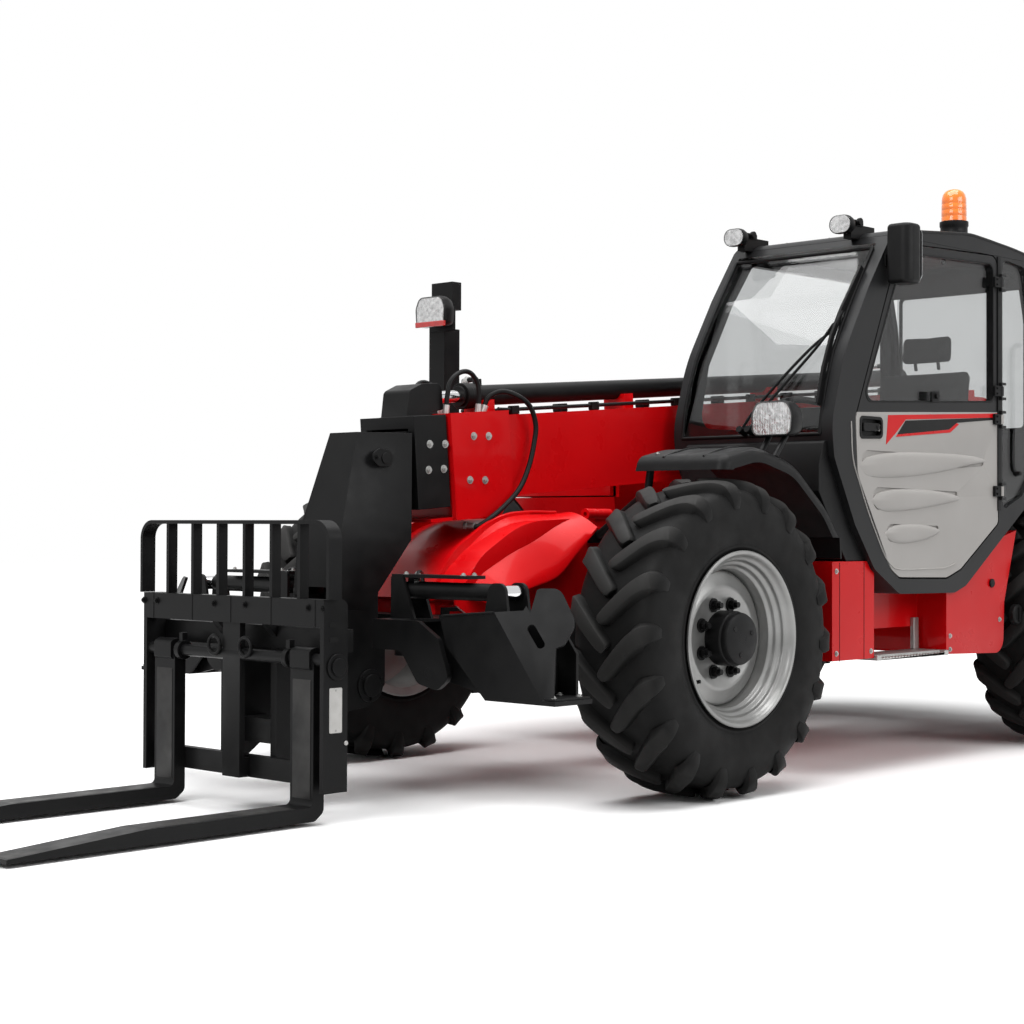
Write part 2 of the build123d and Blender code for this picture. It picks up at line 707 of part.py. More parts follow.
def dashboard():
    """Console with the steering column and wheel."""
    console = side([(-775, 1340, 10), (-770, 1420, 30), (-960, 1400, 60), (-1010, 1250), (-1020, 960), (-990, 918)], 300, 960)
    column = bar((-1000, 640, 1150), (-1170, 640, 1500), 35)
    ring_plane = Plane(Vector(-1180, 640, 1520), z_dir=Vector(-0.437, 0, 0.9))
    ring = Solid.make_torus(180, 15, ring_plane)
    spokes = [bar((-1180 - 0.0, 640 - 178, 1520), (-1180, 640 + 178, 1520), 12)]
    boss = bar((-1150, 640, 1459), (-1188, 640, 1537), 45)
    room = side(grown(CAB_ROOM, -SEAT_GAP), CAB_RIGHT + CAB_WALL + SEAT_GAP, CAB_LEFT - CAB_WALL - SEAT_GAP)
    return fused(console.intersect(room), column, ring, spokes, boss)


def corner_panel():
    """Black panel between the front wheel and the cab."""
    outline = [(-690, 1400, 20), (-655, 1300), (-655, 1190), (-800, 975), (-850, 901), (-1100, 901), (-800, 1400)]
    return less(side(outline, 300, 1020), side(grown(CAB_SIDE, SEAT_GAP), CAB_RIGHT - 50, CAB_LEFT + 50))


# crown of the front guard, wound clockwise from its front end, and the same guard's underside
GUARD_LINE = [(58, 1262), (40, 1318, 60), (-170, 1362, 300), (-420, 1300, 300), (-640, 1130, 300), (-745, 1000)]
GUARD_T = 12
GUARD_IN = 640
GUARD_OUT = 1080
GUARD_LIP = 46


def guard_body(inset, y0, y1):
    """What lies under the guard's crown, down to below its ends."""
    low = [(GUARD_LINE[-1][0] + 30, 900), (GUARD_LINE[0][0], 900)]
    line = GUARD_LINE + low
    return side(grown(line, -inset) if inset else line, y0, y1)


def round_crown(body, y, radius):
    """Rounds the crown's edge over the tyre's outer side."""
    edges = [e for e in body.edges() if abs(e.center().Y - y) < 1 and e.center().Z > 1010 and e.bounding_box().size.X > 1]
    return body.fillet(radius, edges)


def front_mudguard():
    """Curved guard with its outer edge turned down, on a bent tube from the nose."""
    crown = round_crown(guard_body(0, GUARD_IN, GUARD_OUT), GUARD_OUT, GUARD_LIP)
    hollow = round_crown(guard_body(GUARD_T, GUARD_IN - 20, GUARD_OUT - GUARD_T), GUARD_OUT - GUARD_T, GUARD_LIP - GUARD_T)
    skirt = guard_body(GUARD_LIP + 14, GUARD_OUT - 100, GUARD_OUT + 20)
    (front_x, front_z), (rear_x, rear_z) = GUARD_LINE[0], GUARD_LINE[-1]
    ends = [
        block(front_x - 80, front_x + 80, GUARD_IN - 30, GUARD_OUT + 30, 800, front_z),
        block(rear_x - 80, front_x + 80, GUARD_IN - 30, GUARD_OUT + 30, 800, rear_z),
    ]
    x, y = -20, 352 + SEAT_GAP
    tube = fused(
        bar((x, y + 22, 1005), (x, GUARD_IN + 8, 1190), 16),
        bar((x, GUARD_IN, 1180), (x, GUARD_IN + 24, 1360 - GUARD_T), 16),
        block(x - 40, x + 40, y, y + 26, 975, 1030),
    )
    tube = tube.intersect(fused(guard_body(GUARD_T / 2, 300, 700), block(x - 50, x + 50, y, 700, 900, 1250)))
    return fused(less(crown, hollow, skirt, ends), tube)


def rear_mudguard():
    x = REAR_AXLE_X
    outer = [(x + 420, 1290), (x, 1330, 500), (x - 420, 1262, 300), (x - 640, 1120)]
    inner = [(x - 630, 1108), (x - 416, 1250, 290), (x, 1318, 490), (x + 420, 1278)]
    skin = side(outer + inner, RAIL_OUT, 1080)
    return skin


ROOF_LAMP_Y = (300, 870)
ROOF_LAMP_X = -1020
POST_X = -360
POST_Y = -880
LAMP_Y = -826
HEADLAMP_Z = 1472


def lamps():
    lens = [(-98, -66, 30), (-105, 20, 50), (-80, 74, 40), (80, 74, 40), (105, 20, 50), (98, -66, 30)]
    left = front([(1005 + a, HEADLAMP_Z + b, r) for a, b, r in lens], -450, -345)
    right = front([(LAMP_Y + a * 0.95, 2024 + b, r * 0.9) for a, b, r in lens], POST_X + 60, POST_X + 150)
    oval = [(-56, -40, 38), (-56, 40, 38), (56, 40, 38), (56, -40, 38)]
    roof = [front([(y + a, 2345 + b, r) for a, b, r in oval], ROOF_LAMP_X - 60, ROOF_LAMP_X) for y in ROOF_LAMP_Y]
    rear = [
        block(REAR_X + 8, REAR_X + 60, y0, y1, COUNTERWEIGHT_TOP + SEAT_GAP, COUNTERWEIGHT_TOP + 80)
        for y0, y1 in ((480, 680), (-680, -480))
    ]
    return [left, right, *roof, *rear]


def above_guard(shape):
    """What of the shape stands over the front mudguard."""
    return less(shape, guard_body(-SEAT_GAP, -1200, 1200))


def above_roof(shape):
    return less(shape, side(grown(CAB_SIDE, SEAT_GAP), CAB_RIGHT - 50, CAB_LEFT + 50))


def lamp_brackets():
    """Posts and arms of the lamps and mirrors, and the mirrors themselves."""
    left = [
        less(above_guard(bar((-280, y, 1270), (-400, y, 1410), 12)), block(-460, -335, 880, 1130, HEADLAMP_Z - 66 - SEAT_GAP, 1600))
        for y in (960, 1040)
    ]
    post = fused(
        above_guard(block(POST_X - 50, POST_X + 50, POST_Y - 50, POST_Y + 50, 1250, 1960)),
        block(POST_X + 40, POST_X + 60 - SEAT_GAP, POST_Y - 40, LAMP_Y + 60, 1945, 2050),
        block(POST_X - 50, POST_X - 30, POST_Y - 75, POST_Y + 20, 1940, 2130),
    )
    roof = [above_roof(block(-1260, ROOF_LAMP_X - 60 - SEAT_GAP, y - 20, y + 20, 2290, 2352)) for y in ROOF_LAMP_Y]
    x, y, z = MIRROR_BALL
    arm = fused(
        block(x - 40, x + 40, CAB_LEFT + SEAT_GAP, CAB_LEFT + 8, z - 60, z - 10),
        bar((x, CAB_LEFT + 7.7, z - 35), (x, CAB_LEFT + 14, z - 35), 14),
        upright(x, CAB_LEFT + 13, 6, z - 42, z + 12),
        bar((x, CAB_LEFT + 13, z), (x, y, z), 10),
    )
    arm = less(arm, side(grown(CAB_SIDE, SEAT_GAP), 0, CAB_LEFT))
    return [*left, post, *roof, arm]


MIRROR_BALL = (-1130, 1078, 2215)


def mirrors():
    """Housings of the two mirrors, the left one bored for its arm."""
    x, y, z = MIRROR_BALL
    left = plan([(x + 60, y - 8, 20), (x + 60, LEG_TIP, 45), (x - 60, LEG_TIP, 45), (x - 60, y - 8, 20)], z - 140, z + 115)
    left = left.fillet(18, [e for e in left.edges() if abs(e.center().Z - z + 12.5) > 127])
    left = less(left, bar((x, CAB_LEFT + 7.7, z), (x, y, z), 10 + SEAT_GAP))
    right = block(POST_X - 110, POST_X - 50 - SEAT_GAP, POST_Y - 140, POST_Y, 2058, 2190)
    return [left, right]


def beacon():
    """Domed lens on its round base."""
    x, y = BEACON
    dome = upright(x, y, 58, 2440, 2602)
    dome = dome.fillet(44, [e for e in dome.edges() if e.center().Z > 2600])
    return above_roof(fused(upright(x, y, 66, 2300, 2452), dome))


BEACON = (-1902, 900)


def stabilizer_frame():
    """Beam across the rails' front with a pair of hanger plates for each leg."""
    beam = block(RAIL_FRONT_X + SEAT_GAP, 860, -560, 560, 590, 700)
    y, z = LEG_PIN
    plate = [
        (300, 590),
        (300, 700),
        (y - 60, 700, 40),
        (y + 45, 640, 30),
        (y + 100, z - 15, 30),
        (y + 40, z - 60, 40),
        (y - 60, z - 40, 40),
        (y - 150, 590, 60),
    ]
    plates = [front(plate, x0, x0 + 20) for x0 in (LEG_X0 - 30, LEG_X1 + 10)]
    arm = block(850, LEG_X1 + 20, 300, 318, 590, 700)
    shelf = block(850, LEG_X1 + 20, 300, 440, 688, 700)
    (base_y, base_z), cheek = LEG_BASE, LEG_CYL_X
    cheeks = [
        front([(300, 690), (300, base_z + 58, 20), (base_y + 30, base_z + 58), (430, 690)], x0, x0 + 12)
        for x0 in (cheek - 50, cheek + 38)
    ]
    cover = block(cheek - 45, cheek + 45, 300, 700, base_z + 46, base_z + 58)
    end = fused(
        plates,
        arm,
        shelf,
        cheeks,
        cover,
        along(y, z, 25, LEG_X0 - 20, LEG_X1 + 20),
        along(base_y, base_z, 15, cheek - 50, cheek + 50),
    )
    return fused(beam, both(end))


# leg's front plate as Y, Z and, from its slanted outer edge, the outer plate that leans back and carries the ear
LEG_EDGE = ((895, 743), (1120, 451))
LEG_LEAN = (-0.568, 0.652, 0.502)
LEG_OUTER = [
    (0, 0),
    (50, 92),
    (4, 172, 30),
    (48, 242, 45),
    (190, 232, 60),
    (236, 158, 20),
    (232, 128),
    (395, 36),
    (400, 16),
    (368, 0),
]


def leg():
    """Left stabilizer leg, folded up: two cheeks from its hinge, boxed in by a front, a rear and an outer plate."""
    y, z = LEG_PIN
    (top_y, top_z), (low_y, low_z) = LEG_EDGE
    front_plate = front(
        [(y + 20, 722, 20), (top_y, top_z), (low_y, low_z), (low_y, 434), (850, 434), (y + 60, 610, 60)], LEG_X1 - LEG_WALL, LEG_X1
    )
    rear_plate = front(
        [(y + 20, 722, 20), (1010, 745), (1120, 600), (1120, 434), (850, 434), (y + 60, 610, 60)], LEG_X0, LEG_X0 + LEG_WALL
    )
    start = Vector(LEG_X1, top_y, top_z)
    down = (Vector(LEG_X1, low_y, low_z) - start).normalized()
    lean = Vector(*LEG_LEAN).normalized()
    inwards = down.cross(lean).normalized() * LEG_WALL
    inwards = inwards if inwards.X < 0 else inwards * -1
    outer = prism(LEG_OUTER, lambda a, b: start + down * a + lean * b, tuple(inwards))
    slot = prism([(110, 72, 14), (206, 74, 14), (206, 104, 14), (110, 102, 14)], lambda a, b: start + down * a + lean * b, tuple(inwards * 3))
    outer = less(outer, slot.moved(Location(tuple(inwards * -1))))
    eye_y, eye_z = LEG_EYE
    cheek = [
        (y - 34, z - 30, 28),
        (y - 34, z + 30, 28),
        (y + 30, 716, 30),
        (eye_y - 62, 728),
        (eye_y - 38, eye_z + 36, 34),
        (eye_y + 38, eye_z + 36, 34),
        (eye_y + 52, 740),
        (1040, 560),
        (1040, 434),
        (850, 434),
        (y + 60, z - 40, 40),
    ]
    cheeks = [front(cheek, x0, x0 + LEG_WALL) for x0 in (LEG_CYL_X - 60, LEG_CYL_X + 60 - LEG_WALL)]
    top = front([(y + 20, 710), (y + 20, 722), (top_y, top_z), (top_y, top_z - 12)], LEG_X0, LEG_X1)
    foot = block(LEG_X0, LEG_X1, 850, LEG_TIP, 432, 448)
    tube = along(y, z, 38, LEG_X0, LEG_X1)
    body = fused(front_plate, rear_plate, outer, cheeks, top, foot, tube)
    slot = block(LEG_CYL_X - 48, LEG_CYL_X + 48, 500, 1010, 560, 900)
    return less(body, slot, along(y, z, 25.5, LEG_X0 - 10, LEG_X1 + 10))


def unit(start, end):
    way = Vector(*end) - Vector(*start)
    return way.normalized(), way.length


def barrel(start, end, length, radius, rod_r, eye_r, hole_r, half, pin):
    """Barrel with a base eye at start, reaching length towards end. The bore takes the rod."""
    way, _ = unit(start, end)
    start = Vector(*start)
    pin = Vector(*pin)
    body = bar(tuple(start + way * (eye_r * 0.6)), tuple(start + way * length), radius)
    eye = bar(tuple(start - pin * half), tuple(start + pin * half), eye_r)
    hole = bar(tuple(start - pin * (half + 20)), tuple(start + pin * (half + 20)), hole_r)
    bore = bar(tuple(start + way * (eye_r + 40)), tuple(start + way * (length + 10)), rod_r + 0.5)
    return less(fused(body, eye), hole, bore)


def rod(start, end, begin, radius, eye_r, hole_r, half, pin):
    """Rod from inside its barrel to the eye at end."""
    way, _ = unit(start, end)
    start, end = Vector(*start), Vector(*end)
    pin = Vector(*pin)
    body = bar(tuple(start + way * begin), tuple(end - way * (eye_r * 0.5)), radius)
    eye = bar(tuple(end - pin * half), tuple(end + pin * half), eye_r)
    hole = bar(tuple(end - pin * (half + 20)), tuple(end + pin * (half + 20)), hole_r)
    return less(fused(body, eye), hole)


ACROSS = (0, 1, 0)
ALONG = (1, 0, 0)


def at(point, y=0):
    return (point[0], y, point[1])


def leg_at(point):
    return (LEG_CYL_X, point[0], point[1])


# ---------------------------------------------------------------- boom


def box_tube(section, x0, x1, clear=0):
    """Hollow rectangular tube in the boom's frame."""
    half_w, half_h, wall = section
    outer = block(x0, x1, -half_w, half_w, -half_h, half_h)
    return less(outer, block(x0 - 1, x1 + 1, -half_w + wall, half_w - wall, -half_h + wall, half_h - wall))


def boom_outer():
    half_w, half_h, wall = OUTER
    tube = box_tube(OUTER, -170, OUTER_END - 20)
    boss = across(0, 0, 105, -RAIL_IN + 5, RAIL_IN - 5)
    boss = less(boss, across(0, 0, PIN_R + 0.5, -300, 300))
    collar = less(
        block(OUTER_END - 330, OUTER_END, -half_w - 4, half_w + 4, -half_h - 18, half_h + 18),
        block(OUTER_END - 340, OUTER_END + 10, -half_w + wall, half_w - wall, -half_h + wall, half_h - wall),
    )
    plate = [
        (OUTER_END, half_h + 18),
        (OUTER_END - 330, half_h + 18),
        (OUTER_END - 330, -half_h + 10),
        (OUTER_END - 255, -half_h - COLLAR_DROP),
        (OUTER_END, -half_h - COLLAR_DROP, 12),
    ]
    collar = fused(collar, both(side(plate, half_w, half_w + 22)))
    tray = block(OUTER_END - 40, OUTER_END + 120, -half_w - 4, half_w + 4, -half_h - COLLAR_DROP, -half_h - COLLAR_DROP + 12)
    web = block(OUTER_END - 40, OUTER_END - 24, -half_w - 4, half_w + 4, -half_h - COLLAR_DROP, -half_h - 10)
    collar = fused(collar, tray, web)
    eye_x, eye_z = to_boom(*LIFT_EYE)
    ears = []
    for y0, y1 in ((52, 84), (-84, -52)):
        ears.append(side([(eye_x - 200, -half_h + 5), (eye_x - 60, eye_z - 60, 60), (eye_x + 60, eye_z - 60, 60), (eye_x + 160, -half_h + 5)], y0, y1))
    saddle = [
        block(x, x + 60, -60, 60, half_h - 2, TUBE_Z - 20)
        for x in (TUBE_BACK + 10, TUBE_BACK + 1180, TUBE_FRONT - 1000, TUBE_FRONT - 120)
    ]
    shape = fused(tube, collar, boss, ears, saddle)
    shape = less(shape, bar((TUBE_BACK - 20, 0, TUBE_Z), (TUBE_FRONT, 0, TUBE_Z), TUBE_R + SEAT_GAP))
    hole = block(140, OUTER_END + 10, -half_w + wall, half_w - wall, -half_h + wall, half_h - wall)
    return on_boom(less(shape, hole, across(0, 0, PIN_R + 0.5, -300, 300)))


def telescope_barrel():
    tube = fused(
        bar((TUBE_BACK, 0, TUBE_Z), (TUBE_FRONT, 0, TUBE_Z), TUBE_R),
        bar((TUBE_FRONT - 50, 0, TUBE_Z), (TUBE_FRONT, 0, TUBE_Z), TUBE_R + 10),
    )
    return on_boom(less(tube, bar((TUBE_BACK + 80, 0, TUBE_Z), (TUBE_FRONT + 10, 0, TUBE_Z), TUBE_ROD_R + 0.5)))


def telescope_rod():
    return on_boom(bar((TUBE_BACK + 130, 0, TUBE_Z), (MIDDLE_END - TOWER_BACK - SEAT_GAP, 0, TUBE_Z), TUBE_ROD_R))


def pads(section, around, x0, x1):
    """Wear pads on a section's four sides that fill the room in the section around it."""
    half_w, half_h, _ = section
    reach_w = around[0] - around[2] - PAD_GAP
    reach_h = around[1] - around[2] - PAD_GAP
    flats = [block(x0, x1, -half_w + 25, half_w - 25, z0, z1) for z0, z1 in ((half_h, reach_h), (-reach_h, -half_h))]
    sides = [
        block(x0, x1, y0, y1, z - 40, z + 40)
        for y0, y1 in ((half_w, reach_w), (-reach_w, -half_w))
        for z in (45 - half_h, half_h - 45)
    ]
    return flats + sides


def boom_middle():
    half_w, half_h, wall = MIDDLE
    tube = fused(box_tube(MIDDLE, 260, MIDDLE_END), pads(MIDDLE, OUTER, 270, 420))
    collar = less(
        block(OUTER_END + 10, MIDDLE_END, -half_w - 28, half_w + 28, -half_h - 46, half_h + 40),
        block(OUTER_END, MIDDLE_END + 10, -half_w + wall, half_w - wall, -half_h + wall, half_h - wall),
    )
    over = OUTER[1] + 18 + GAP
    tower = side(
        [
            (MIDDLE_END - 30, half_h),
            (MIDDLE_END - 60, TUBE_Z + 30, 25),
            (MIDDLE_END - 130, TUBE_Z + 55, 40),
            (MIDDLE_END - TOWER_BACK, TUBE_Z + 55, 30),
            (MIDDLE_END - TOWER_BACK, over + 10),
            (MIDDLE_END - 172, over),
            (MIDDLE_END - 172, half_h),
        ],
        -75,
        75,
    )
    return on_boom(fused(tube, collar, tower))


# head: height, back edge, half width there, front edge, half width there
HEAD_LEVELS = [
    (1400, 828, 165, 1034, 79),
    (1067, 828, 165, 1136, 116),
    (988, 828, 163, 1158, 122),
    (780, 966, 120, 1180, 120),
]
HEAD_ARM = [
    (960, 800),
    (1180, 800),
    (1172, 640, 200),
    (1130, 440 - 60, 85),
    (950, 440 - 60, 85),
    (960, 700, 60),
]


def head_box(by):
    """The head's tapered box, with its walls moved in by a thickness."""
    found = []
    for (z0, *low), (z1, *high) in zip(HEAD_LEVELS[1:], HEAD_LEVELS[:-1]):
        rings = []
        for z, (back, back_half, ahead, ahead_half) in ((z0, low), (z1, high)):
            z = z if z < HEAD_LEVELS[0][0] else z - by
            rings.append(
                Wire.make_polygon(
                    [
                        Vector(back + by, -back_half + by, z),
                        Vector(ahead - by, -ahead_half + by, z),
                        Vector(ahead - by, ahead_half - by, z),
                        Vector(back + by, back_half - by, z),
                    ]
                )
            )
        found.append(Solid.make_loft(rings, True))
    return fused(found)


def boom_inner():
    half_w, half_h, wall = INNER
    tube = on_boom(fused(box_tube(INNER, 460, INNER_END), pads(INNER, MIDDLE, 470, 620)))
    arms = both(side(HEAD_ARM, HEAD_IN, HEAD_OUT))
    shell = fused(head_box(0), arms)
    shell = less(shell, head_box(HEAD_WALL), block(600, 1400, -HEAD_IN, HEAD_IN, 300, 810))
    shell = less(shell, block(600, 1000, -HEAD_IN, HEAD_IN, 300, 1040))
    flange = on_boom(block(MIDDLE_END + 7, MIDDLE_END + 25, -half_w - 20, half_w + 20, -half_h - 8, half_h + 8))
    pin = across(*TILT_TOP, 25, -HEAD_OUT - 18, HEAD_OUT + 18)
    return less(fused(tube, flange, shell, pin), across(*TILT_PIN, 40.5, -200, 200))


# ---------------------------------------------------------------- carriage


def carriage_frame():
    half = CARRIAGE_HALF
    plates = both(side([(CARRIAGE_BACK, CARRIAGE_BOTTOM), (CARRIAGE_BACK, CARRIAGE_TOP, 30), (CARRIAGE_FRONT, CARRIAGE_TOP), (CARRIAGE_FRONT, CARRIAGE_BOTTOM)], half - 20, half))
    top_bar = block(1532, CARRIAGE_FRONT, -half, half, 690, CARRIAGE_TOP)
    low_bar = block(1485, 1520, -half, half, 128, 207)
    shaft = across(*FORK_SHAFT, 22, -half + 5, half - 5)
    middle = block(1545, 1570, -50, 50, 130, 720)
    middle = fused(middle, block(1500, 1550, -50, 50, 130, 200))
    coupler = both(
        side(
            [(1040, 360, 75), (962, 440), (962, 640, 70), (1060, 720, 60), (1380, 740), (1545, 740), (1545, 700), (1490, 640), (1490, 150), (1440, 150), (1150, 350, 60)],
            COUPLER_IN,
            COUPLER_OUT,
        )
    )
    cross = [
        block(1440, 1490, -half + 5, half - 5, 600, 680),
        block(1300, 1420, -COUPLER_OUT, COUPLER_OUT, 240, 330),
    ]
    pin = across(*TILT_PIN, 40, -COUPLER_OUT - 10, COUPLER_OUT + 10)
    levers = both(
        side([(TILT_PIN[0] - 58, TILT_PIN[1] - 50, 50), (TILT_EYE[0] - 48, TILT_EYE[1] + 48, 46), (TILT_EYE[0] + 48, TILT_EYE[1] + 48, 46), (TILT_PIN[0] + 58, TILT_PIN[1] - 50, 50)], 58, 80)
    )
    shape = fused(plates, top_bar, low_bar, shaft, middle, coupler, cross, pin, levers)
    return shape


def backrest():
    half = 550
    outer = front([(-half, CARRIAGE_TOP + SEAT_GAP), (-half, BACKREST_TOP, 70), (half, BACKREST_TOP, 70), (half, CARRIAGE_TOP + SEAT_GAP)], 1520, CARRIAGE_FRONT)
    inner = front([(-half + 14, CARRIAGE_TOP - 5), (-half + 14, BACKREST_TOP - 14, 56), (half - 14, BACKREST_TOP - 14, 56), (half - 14, CARRIAGE_TOP - 5)], 1510, CARRIAGE_FRONT + 10)
    slats = [
        block(1535, 1575, -half + 14 + i * (2 * half - 28) / 7 - 8, -half + 14 + i * (2 * half - 28) / 7 + 8, CARRIAGE_TOP + SEAT_GAP, BACKREST_TOP - 8)
        for i in range(1, 7)
    ]
    return fused(less(outer, inner), slats)


def fork():
    """Left fork: eye on the shaft, shank in front of the lower bar, tapered blade."""
    x0, x1 = 1522, 1522 + FORK_T
    sx, sz = FORK_SHAFT
    outline = [
        (x0, sz),
        (x0, FORK_Z + 30, 30),
        (x0 + 40, FORK_Z, 30),
        (FORK_TIP_X, FORK_Z),
        (FORK_TIP_X, FORK_Z + 14),
        (x1 + 700, FORK_Z + FORK_T),
        (x1, FORK_Z + FORK_T, 20),
        (x1, sz),
    ]
    body = side(outline, FORK_Y - FORK_W / 2, FORK_Y + FORK_W / 2)
    eye = across(sx, sz, 42, FORK_Y - FORK_W / 2 + 10, FORK_Y + FORK_W / 2 - 10)
    keep = block(x0, x1 + 12, 0, 600, sz - 60, sz + 60)
    shape = fused(body, eye.intersect(keep))
    return less(shape, across(sx, sz, 22 + SEAT_GAP, 0, 600))


# ---------------------------------------------------------------- door


def door_part(low, high, hinge_z):
    """The door between two lines across it, with its share of the hinges; a line is its front and rear heights."""
    (x0, _), (x1, _) = DOOR_SPLIT
    run = x1 - x0
    ends = [(x0 + 200, x1 - 200), (low, high)]
    level = lambda x, line: line[0] + (line[1] - line[0]) * (x - x0) / run
    band = side(
        [(x0 + 200, level(x0 + 200, low)), (x0 + 200, level(x0 + 200, high)), (x1 - 200, level(x1 - 200, high)), (x1 - 200, level(x1 - 200, low))],
        CAB_LEFT - CAB_WALL - 5,
        CAB_LEFT + 5,
    )
    leaf = side(DOOR_LINE, CAB_LEFT - CAB_WALL, CAB_LEFT).intersect(band)
    x, y = DOOR_HINGE_X, DOOR_HINGE_Y
    straps = [
        fused(
            upright(x, y, 11, z - 22, z + 22),
            block(x, x + 60, CAB_LEFT + 1, y + 2, z - 22, z + 22),
            block(x + 15, x + 60, CAB_LEFT - 1, y + 2, z - 22, z + 22),
        )
        for z in hinge_z
    ]
    return less(fused(leaf, straps), upright(x, y, 6.5, 900, 2400))


def door_frame():
    """Upper part of the door, round its window."""
    (_, z0), (_, z1) = DOOR_SPLIT
    frame = door_part((z0, z1), (2600, 2600), DOOR_HINGE_Z[2:])
    return less(frame, side(DOOR_WINDOW, CAB_LEFT - CAB_WALL - 5, CAB_LEFT + 5))


# pockets pressed into the door's lower part: front end, rear end, height of the middle, depth of the front end
DOOR_POCKETS = [
    (-923, -1905, 1312, 112),
    (-1006, -1680, 1163, 100),
    (-1112, -1522, 1017, 82),
]
POCKET_DEEP = 9


def door_panel():
    """Lower part of the door, with its pressed pockets and the hand hold."""
    (_, z0), (_, z1) = DOOR_SPLIT
    panel = door_part((400, 400), (z0 - SEAT_GAP, z1 - SEAT_GAP), DOOR_HINGE_Z[:2])
    pockets = []
    for ahead, back, z, height in DOOR_POCKETS:
        half, end = height / 2, height / 5
        outline = [(ahead, z - half, half * 0.9), (ahead, z + half, half * 0.9), (back, z + half * 0.8, end * 0.6), (back, z + half * 0.8 - end * 1.5, end * 0.6)]
        pockets.append(side(outline, CAB_LEFT - POCKET_DEEP, CAB_LEFT + 5))
    hold = side([(-908, 1416, 20), (-908, 1507, 20), (-1074, 1507, 20), (-1074, 1422, 20)], CAB_LEFT - 22, CAB_LEFT + 5)
    grip = side([(-935, 1450, 12), (-935, 1478, 12), (-1080, 1478, 10), (-1080, 1450, 10)], CAB_LEFT - 25, CAB_LEFT - 4)
    return fused(less(panel, pockets, hold), grip)


DOOR_WINDOW = [(-925, 1566, 40), (DOOR_HINGE_X + 45, 1616, 30), (DOOR_HINGE_X + 45, 2258, 40), (-1240, 2232, 60)]


def door_glass():
    return side(grown(DOOR_WINDOW, -SEAT_GAP), CAB_LEFT - 24, CAB_LEFT - 18)


# ---------------------------------------------------------------- output


def move_to_row(shape):
    """Sets the machine down on its tyres, with the row's origin under its middle."""
    return shape.moved(Location((-(FORK_TIP_X + REAR_X) / 2, 0, TYRE_R - AXLE_Z)))


def pieces():
    lift_start, lift_end = at(LIFT_BASE), at(LIFT_EYE)
    tilt_start, tilt_end = at(TILT_TOP), at(TILT_EYE)
    leg_start, leg_end = leg_at(LEG_BASE), leg_at(LEG_EYE)
    found = {
        "chassis_frame": chassis_frame(),
        "front_nose": front_nose(),
        "front_axle": axle(0),
        "rear_axle": axle(REAR_AXLE_X),
        "counterweight": counterweight(),
        "engine_block": engine_block(),
        "engine_cowl": engine_cowl(),
        "engine_lid": engine_lid(),
        "side_boxes": side_boxes(),
        "cab_step": cab_step(),
        "cab_frame": cab_frame(),
        "cab_roof": cab_roof(),
        "cab_glass": cab_glass(),
        "seat": seat(),
        "dashboard": dashboard(),
        "corner_panel": corner_panel(),
        "front_mudguards": both(front_mudguard()),
        "rear_mudguards": both(rear_mudguard()),
        "lamps": lamps(),
        "lamp_brackets": lamp_brackets(),
        "mirrors": mirrors(),
        "beacon": beacon(),
        "exhaust_pipe": exhaust_pipe(),
        "stabilizer_frame": stabilizer_frame(),
        "boom_outer": boom_outer(),
        "telescope_barrel": telescope_barrel(),
        "telescope_rod": telescope_rod(),
        "boom_middle": boom_middle(),
        "boom_inner": boom_inner(),
        "lift_barrel": barrel(lift_start, lift_end, 1060, LIFT_R, LIFT_ROD_R, 55, 30.5, 45, ACROSS),
        "lift_rod": rod(lift_start, lift_end, 150, LIFT_ROD_R, 52, 25, 44, ACROSS),
        "tilt_barrel": barrel(tilt_start, tilt_end, 520, TILT_R, TILT_ROD_R, 45, 25.5, 50, ACROSS),
        "tilt_rod": rod(tilt_start, tilt_end, 120, TILT_ROD_R, 42, 20, 44, ACROSS),
        "carriage_frame": carriage_frame(),
        "backrest": backrest(),
        "forks": both(fork()),
        "door_frame": door_frame(),
        "door_panel": door_panel(),
        "door_glass": door_glass(),
    }
    leg_solid = leg()
    leg_barrel = barrel(leg_start, leg_end, 480, 32, 18, 30, 15.5, 34, ALONG)
    leg_rod = rod(leg_start, leg_end, 90, 18, 28, 12, 40, ALONG)
    for name, shape in (("leg", leg_solid), ("leg_barrel", leg_barrel), ("leg_rod", leg_rod)):
        found[name + "_left"] = shape
        found[name + "_right"] = mirrored(shape)
    for end, x in (("front", 0), ("rear", REAR_AXLE_X)):
        for name, shape in (
            ("knuckle", knuckle(x)),
            ("tyre", wheel(x, wheel_tyre)),
            ("rim", wheel(x, wheel_rim)),
        ):
            found[f"{name}_{end}_left"] = shape
            found[f"{name}_{end}_right"] = mirrored(shape)
    return found


os.makedirs("parts", exist_ok=True)
for name, shape in pieces().items():
    solids = []
    for item in shape if isinstance(shape, (list, tuple)) else [shape]:
        solids.extend(item.solids())
    moved = [move_to_row(s) for s in solids]
    export_step(moved[0] if len(moved) == 1 else Compound(children=moved), f"parts/{name}.step")
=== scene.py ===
"""Looks of the telescopic handler: finishes, wheels, lamps, hoses, trim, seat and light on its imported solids.

Lengths are in mm in the machine's own frame, X forward from the front axle, Y to its left, Z up; at() puts them
into the row's frame in metres.
"""

import json
import math

import bmesh
import bpy
from mathutils import Matrix, Vector


